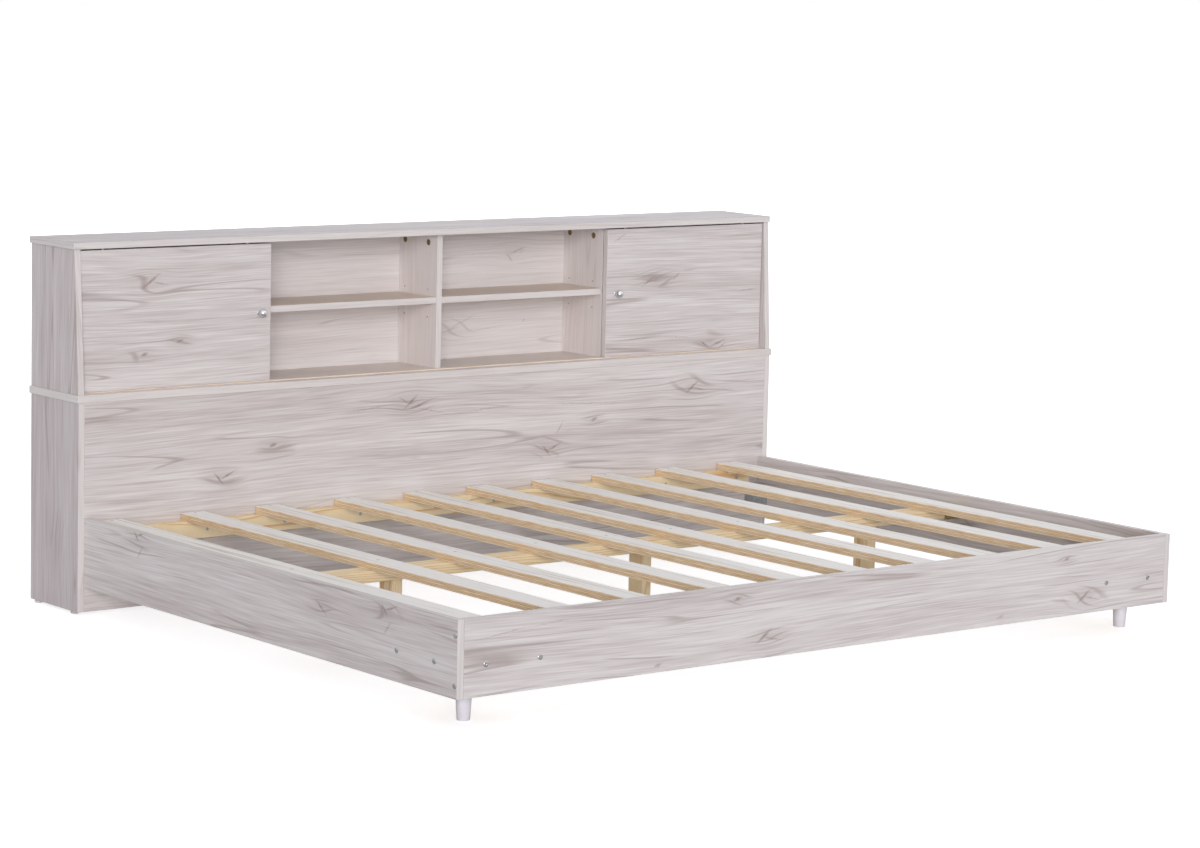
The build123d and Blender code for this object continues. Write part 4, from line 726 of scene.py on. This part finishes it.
class DAYBED_OT_timber(bpy.types.Operator):
    """Finish the pine beam, legs, ledgers and cleats, and the beech track and dowels"""

    bl_idname = "daybed.timber"
    bl_label = "Pine and beech"

    def execute(self, context):
        look = context.scene.daybed_timber
        tones = (
            (0.25, look.pine_early), (0.62, look.pine_early), (0.86, look.pine_late), (0.95, look.pine_early)
        )
        pine_x = pine("planed_pine_along_x", "X", (0, -110, 120), tones)
        pine_y = pine("planed_pine_along_y", "Y", (-960, 0, 80), tones)
        pine_z = pine("planed_pine_upright", "Z", (0, -100, 0), tones)
        lying = ("centre_beam", "front_ledger", "back_ledger_left", "back_ledger_right",
                 "front_cleat_left", "front_cleat_right")
        finish_nodes(lying, pine_x)
        finish_nodes(("side_cleat_left", "side_cleat_right"), pine_y)
        finish_nodes(("beam_leg_left", "beam_leg_centre", "beam_leg_right"), pine_z)
        beech = ((0.25, "#E0C29A"), (0.6, "#D8B88E"), (0.86, "#C4A074"), (0.95, "#D8B88E"))
        limed = ((0.25, "#E6D8C6"), (0.6, "#DFD0BD"), (0.86, "#CFBBA3"), (0.95, "#DFD0BD"))
        finish_nodes(("door_track",), pine("limed_beech_track", "X", (0, 600, 470), limed))
        finish_nodes(("dowels",), pine("turned_beech_dowels", "Z", (0, 600, 0), beech))
        return {"FINISHED"}


class DAYBED_OT_fittings(bpy.types.Operator):
    """Finish the steel fittings and the plastic pieces"""

    bl_idname = "daybed.fittings"
    bl_label = "Fittings"

    def execute(self, context):
        # Yellow-passivated zinc: a dull brass tone with cloudy patches.
        yellow = ((0.3, "#8F8258"), (0.5, "#A6976A"), (0.7, "#B7A97E"))
        finish_nodes(("beam_shoes",), plated("yellow_passivated_zinc", yellow, (0.38, 0.55), 6))
        cam = ((0.3, "#7C6A45"), (0.5, "#94825A"), (0.7, "#AC9A70"))
        finish_nodes(("cam_locks",), plated("die_cast_zinc_cam", cam, (0.35, 0.5), 4))
        # Bright zinc: bluish silver, satin, a little uneven.
        bright = ((0.3, "#A9ACAE"), (0.5, "#BDBFC1"), (0.7, "#CFD1D2"))
        silver = plated("bright_zinc_plated_steel", bright, (0.3, 0.42), 5)
        steel = ("cam_bolts", "case_screws", "frame_screws", "slat_screws", "foot_studs", "rail_brackets")
        finish_nodes(steel, silver)
        finish_nodes(("shelf_pins",), silver)
        white = ((0.3, "#DEDDD9"), (0.5, "#E6E5E1"), (0.7, "#ECEBE8"))
        finish_nodes(
            ("door_runners_left", "door_runners_right"), moulded("moulded_nylon_shoe", white, (0.4, 0.5), 8),
        )
        grey = ((0.3, "#B9B6B2"), (0.5, "#C4C1BD"), (0.7, "#CDCAC6"))
        finish_nodes(("glides",), moulded("moulded_nylon_glide", grey, (0.45, 0.55), 8))
        return {"FINISHED"}


class DAYBED_OT_knobs(bpy.types.Operator):
    """Turn the two ball knobs of the doors"""

    bl_idname = "daybed.knobs"
    bl_label = "Door knobs"

    def execute(self, context):
        sizes = context.scene.daybed_sizes
        # Polished chrome on a turned zinc knob: mirror gloss with the faintest haze.
        chrome = ((0.3, "#C6C8CB"), (0.5, "#D2D4D7"), (0.7, "#DADCDE"))
        material = plated("polished_chrome", chrome, (0.12, 0.2), 12)
        ball = sizes.knob_ball / 2
        neck, neck_foot, collar = 3.5 * MM, 3.2 * MM, 4.375 * MM
        base, base_height, base_ease = 6 * MM, 2 * MM, 0.6 * MM
        stud, stud_depth = 2 * MM, 11 * MM
        ball_steps, steps = 20, 40
        for side in ("left", "right"):
            low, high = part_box(f"knob_{side}")
            bm = bmesh.new()
            sweep = 180 - math.degrees(math.asin(neck / ball))
            centre = (0, 0, sizes.knob_reach - ball)
            last = arc_chain(bm, (0, 0, sizes.knob_reach), centre, sweep, ball_steps)
            line_chain(bm, last, (
                (neck, neck_foot), (collar, base_height), (base, base_height), (base, 0),
                (stud, 0), (stud, -stud_depth), (0, -stud_depth),
            ))
            turn(bm, steps)
            round_ring(bm, base, base_height, base_ease)
            place = Vector(((low.x + high.x) / 2, low.y + sizes.knob_reach, (low.z + high.z) / 2))
            matrix = Matrix.Translation(place) @ Matrix.Rotation(math.radians(90), 4, "X")
            bmesh.ops.transform(bm, matrix=matrix, verts=bm.verts)
            new_piece(f"ball_knob_{side}", bm, material, f"door_{side}", f"knob_{side}")
        return {"FINISHED"}


class DAYBED_OT_feet(bpy.types.Operator):
    """Turn the two tapered front feet"""

    bl_idname = "daybed.feet"
    bl_label = "Front feet"

    def execute(self, context):
        sizes = context.scene.daybed_sizes
        # Turned beech under a sprayed satin lacquer: an even, slightly lilac off-white.
        lilac = ((0.3, "#DEDCE3"), (0.5, "#E4E2E9"), (0.7, "#E9E7EE"))
        material = moulded("sprayed_satin_lacquer", lilac, (0.34, 0.44), 18)
        bore, bore_depth = 3.2 * MM, 26 * MM
        bottom_ease, top_ease, steps = 1.6 * MM, 1.2 * MM, 48
        for side in ("left", "right"):
            low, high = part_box(f"foot_{side}")
            height = high.z - low.z
            bm = bmesh.new()
            line_chain(bm, None, (
                (0, 0), (sizes.foot_bottom / 2, 0), (sizes.foot_top / 2, height), (bore, height),
                (bore, height - bore_depth), (0, height - bore_depth),
            ))
            turn(bm, steps)
            round_ring(bm, sizes.foot_bottom / 2, 0, bottom_ease)
            round_ring(bm, sizes.foot_top / 2, height, top_ease)
            place = Vector(((low.x + high.x) / 2, (low.y + high.y) / 2, low.z))
            bmesh.ops.transform(bm, matrix=Matrix.Translation(place), verts=bm.verts)
            new_piece(f"turned_foot_{side}", bm, material, "bed", f"foot_{side}")
        return {"FINISHED"}


class DAYBED_OT_bolts(bpy.types.Operator):
    """Turn the twelve bolts of the rails, each with a low dome and a hexagon socket"""

    bl_idname = "daybed.bolts"
    bl_label = "Rail bolts"

    def execute(self, context):
        sizes = context.scene.daybed_sizes
        nickel = ((0.3, "#A5A6A6"), (0.5, "#B9BABA"), (0.7, "#CCCDCD"))
        material = plated("nickel_plated_steel_bolt", nickel, (0.2, 0.32), 3)
        head, rise = sizes.bolt_head / 2, 1.5 * MM
        crown, rim, ease, steps = head * 0.72, rise * 0.35, 0.5 * MM, 36
        socket, floor_height, shank = 2 * MM, 0.15 * MM, 2.5 * MM
        # Places in mm: two through each end of the front rail, and pairs at one height for the foot plates.
        rail_y, plate_height = RAIL_FACE + BOARD / 2, 123
        hands, end_heights, side_reaches, front_reaches = (-1, 1), (86, 184), (75, 200), (68, 199)
        long_ends = [(hand, SIDE_FACE, rail_y, height) for hand in hands for height in end_heights]
        side_ends = [
            (hand, SIDE_FACE, RAIL_FACE + reach, plate_height) for hand in hands for reach in side_reaches
        ]
        front_ends = [
            (hand, SIDE_FACE - reach, RAIL_FACE, plate_height) for hand in hands for reach in front_reaches
        ]
        bm = bmesh.new()
        for length, ends, towards in ((50, long_ends, "X"), (40, side_ends, "X"), (40, front_ends, "Y")):
            one = bmesh.new()
            line_chain(one, None, (
                (0, floor_height), (socket, floor_height), (socket, rise), (crown, rise), (head, rim),
                (head, 0), (shank, 0), (shank, -length * MM), (0, -length * MM),
            ))
            turn(one, steps)
            for vert in one.verts:
                radius = math.hypot(vert.co.x, vert.co.y)
                if abs(radius - socket) < SAME_SPOT:
                    from_flat = (math.degrees(math.atan2(vert.co.y, vert.co.x)) % 60) - 30
                    hexagon = math.cos(math.radians(30)) / math.cos(math.radians(from_flat))
                    vert.co.x *= hexagon
                    vert.co.y *= hexagon
            round_ring(one, crown, rise, ease)
            places = []
            for hand, x, y, z in ends:
                spot = Matrix.Translation(Vector((hand * x, y, z)) * MM)
                if towards == "X":
                    places.append(spot @ Matrix.Rotation(math.radians(hand * 90), 4, "Y"))
                else:
                    places.append(spot @ Matrix.Rotation(math.radians(90), 4, "X"))
            repeat(one, places)
            mesh = bpy.data.meshes.new("bolt")
            one.to_mesh(mesh)
            one.free()
            bm.from_mesh(mesh)
            bpy.data.meshes.remove(mesh)
        new_piece("rail_bolts_turned", bm, material, "bed", "rail_bolts")
        return {"FINISHED"}


class DAYBED_OT_stage(bpy.types.Operator):
    """Set the floor, the lights, the background and the camera"""

    bl_idname = "daybed.stage"
    bl_label = "Stage"

    def execute(self, context):
        stage = context.scene.daybed_stage

        # Painted studio floor: near white; a little light of its own for the camera alone makes it the
        # same white as the background, and it keeps the object's shadow.
        material, tree, shader = new_material("painted_studio_floor")
        where = add_node(tree, "TexCoord")
        cloud = add_node(tree, "TexNoise", {"Vector": where.outputs["Object"], "Scale": 3, "Detail": 2})
        shade = add_node(tree, "ValToRGB", {0: cloud}, stops=((0.3, "#E2E2E2"), (0.7, "#E6E6E6")))
        tree.links.new(shade.outputs[0], shader.inputs["Base Color"])
        shader.inputs["Roughness"].default_value = 0.9
        shader.inputs["Specular IOR Level"].default_value = 0.1
        ray = add_node(tree, "LightPath")
        away = add_node(tree, "VectorMath", {0: where.outputs["Object"]}, operation="LENGTH")
        near, far, faint, full = 3.0, 9.0, 0.6, 1.2
        fade = add_node(
            tree, "MapRange", {"Value": away.outputs["Value"], 1: near, 2: far, 3: faint, 4: full}
        )
        seen = add_node(tree, "Math", {0: fade, 1: ray.outputs["Is Camera Ray"]}, operation="MULTIPLY")
        glow = add_node(tree, "Emission", {"Strength": seen})
        both = add_node(tree, "AddShader", {0: shader, 1: glow})
        output = next(n for n in tree.nodes if n.type == "OUTPUT_MATERIAL")
        tree.links.new(both.outputs[0], output.inputs["Surface"])

        floor_radius, floor_sides, floor_drop = 60, 96, 0.5 * MM
        bm = bmesh.new()
        bmesh.ops.create_circle(bm, cap_ends=True, segments=floor_sides, radius=floor_radius)
        mesh = bpy.data.meshes.new("studio_floor")
        bm.to_mesh(mesh)
        bm.free()
        mesh.materials.append(material)
        floor = bpy.data.objects.new("studio_floor", mesh)
        context.scene.collection.objects.link(floor)
        floor.location.z = -floor_drop

        world = bpy.data.worlds.new("white_studio")
        context.scene.world = world
        world.use_nodes = True
        world.node_tree.nodes.clear()
        ray = add_node(world.node_tree, "LightPath")
        shown = add_node(
            world.node_tree, "Math",
            {0: ray.outputs["Is Camera Ray"], 1: ray.outputs["Is Glossy Ray"]}, operation="MAXIMUM",
        )
        shown = add_node(
            world.node_tree, "Math", {0: shown, 1: ray.outputs["Is Transmission Ray"]}, operation="MAXIMUM"
        )
        even = add_node(
            world.node_tree, "Background", {"Color": linear("#F9F8FF"), "Strength": stage.sky}
        )
        white = add_node(world.node_tree, "Background", {"Color": (1, 1, 1, 1), "Strength": 1})
        mixed = add_node(world.node_tree, "MixShader", {0: shown, 1: even, 2: white})
        add_node(world.node_tree, "OutputWorld", {"Surface": mixed})

        # A large light beside the camera, low, so that it reaches into the compartments, a cooler one above,
        # and one behind for the back and the right side.
        lights = (
            ("front_softbox", stage.front, (1, 0.985, 1), 24, (80, -32)),
            ("top_softbox", stage.top, (0.94, 0.965, 1), 100, (12, 20)),
            ("back_softbox", stage.back, (0.97, 0.98, 1), 70, (72, 112)),
        )
        for name, strength, lighting_tint, spread, (tilt, turn_z) in lights:
            lamp = bpy.data.lights.new(name, "SUN")
            lamp.energy = strength
            lamp.angle = math.radians(spread)
            lamp.color = lighting_tint
            light = bpy.data.objects.new(name, lamp)
            light.rotation_euler = (math.radians(tilt), 0, math.radians(turn_z))
            context.scene.collection.objects.link(light)

        azimuth, pitch, roll = stage.azimuth, stage.pitch, stage.roll
        back = Vector((
            math.sin(azimuth) * math.cos(pitch), -math.cos(azimuth) * math.cos(pitch), math.sin(pitch)
        ))
        level = Vector((math.cos(azimuth), math.sin(azimuth), 0))
        upright = back.cross(level)
        right = level * math.cos(roll) + upright * math.sin(roll)
        up = upright * math.cos(roll) - level * math.sin(roll)
        camera = bpy.data.objects.new("photo_camera", bpy.data.cameras.new("photo_camera"))
        camera.data.sensor_width = 36
        camera.data.sensor_fit = "HORIZONTAL"
        camera.data.lens = stage.lens
        camera.data.clip_end = 200
        turned = Matrix((right, up, back)).transposed().to_4x4()
        camera.matrix_world = Matrix.Translation(Vector(stage.target) + back * stage.distance) @ turned
        context.scene.collection.objects.link(camera)
        context.scene.camera = camera
        context.scene.view_settings.view_transform = "Standard"
        return {"FINISHED"}


class DAYBED_PT_pieces(bpy.types.Panel):
    """The pieces of the daybed, in the order they are made"""

    bl_idname = "DAYBED_PT_pieces"
    bl_label = "Bookcase daybed"
    bl_space_type = "VIEW_3D"
    bl_region_type = "UI"
    bl_category = "Daybed"

    def draw(self, context):
        for operator in OPERATORS:
            self.layout.operator(operator.bl_idname)
        for name, group in SETTINGS.items():
            box = self.layout.box()
            box.label(text=group.__doc__)
            for key in group.__annotations__:
                box.prop(getattr(context.scene, name), key)


OPERATORS = (
    DAYBED_OT_stage,
    DAYBED_OT_boards,
    DAYBED_OT_slats,
    DAYBED_OT_timber,
    DAYBED_OT_fittings,
    DAYBED_OT_knobs,
    DAYBED_OT_feet,
    DAYBED_OT_bolts,
)


def register():
    for group in SETTINGS.values():
        bpy.utils.register_class(group)
    for name, group in SETTINGS.items():
        setattr(bpy.types.Scene, name, bpy.props.PointerProperty(type=group))
    for operator in OPERATORS:
        bpy.utils.register_class(operator)
    bpy.utils.register_class(DAYBED_PT_pieces)


def unregister():
    bpy.utils.unregister_class(DAYBED_PT_pieces)
    for operator in reversed(OPERATORS):
        bpy.utils.unregister_class(operator)
    for name, group in SETTINGS.items():
        delattr(bpy.types.Scene, name)
        bpy.utils.unregister_class(group)


def main():
    register()
    for operator in OPERATORS:
        family, action = operator.bl_idname.split(".")
        getattr(getattr(bpy.ops, family), action)()


if __name__ == "__main__":
    main()
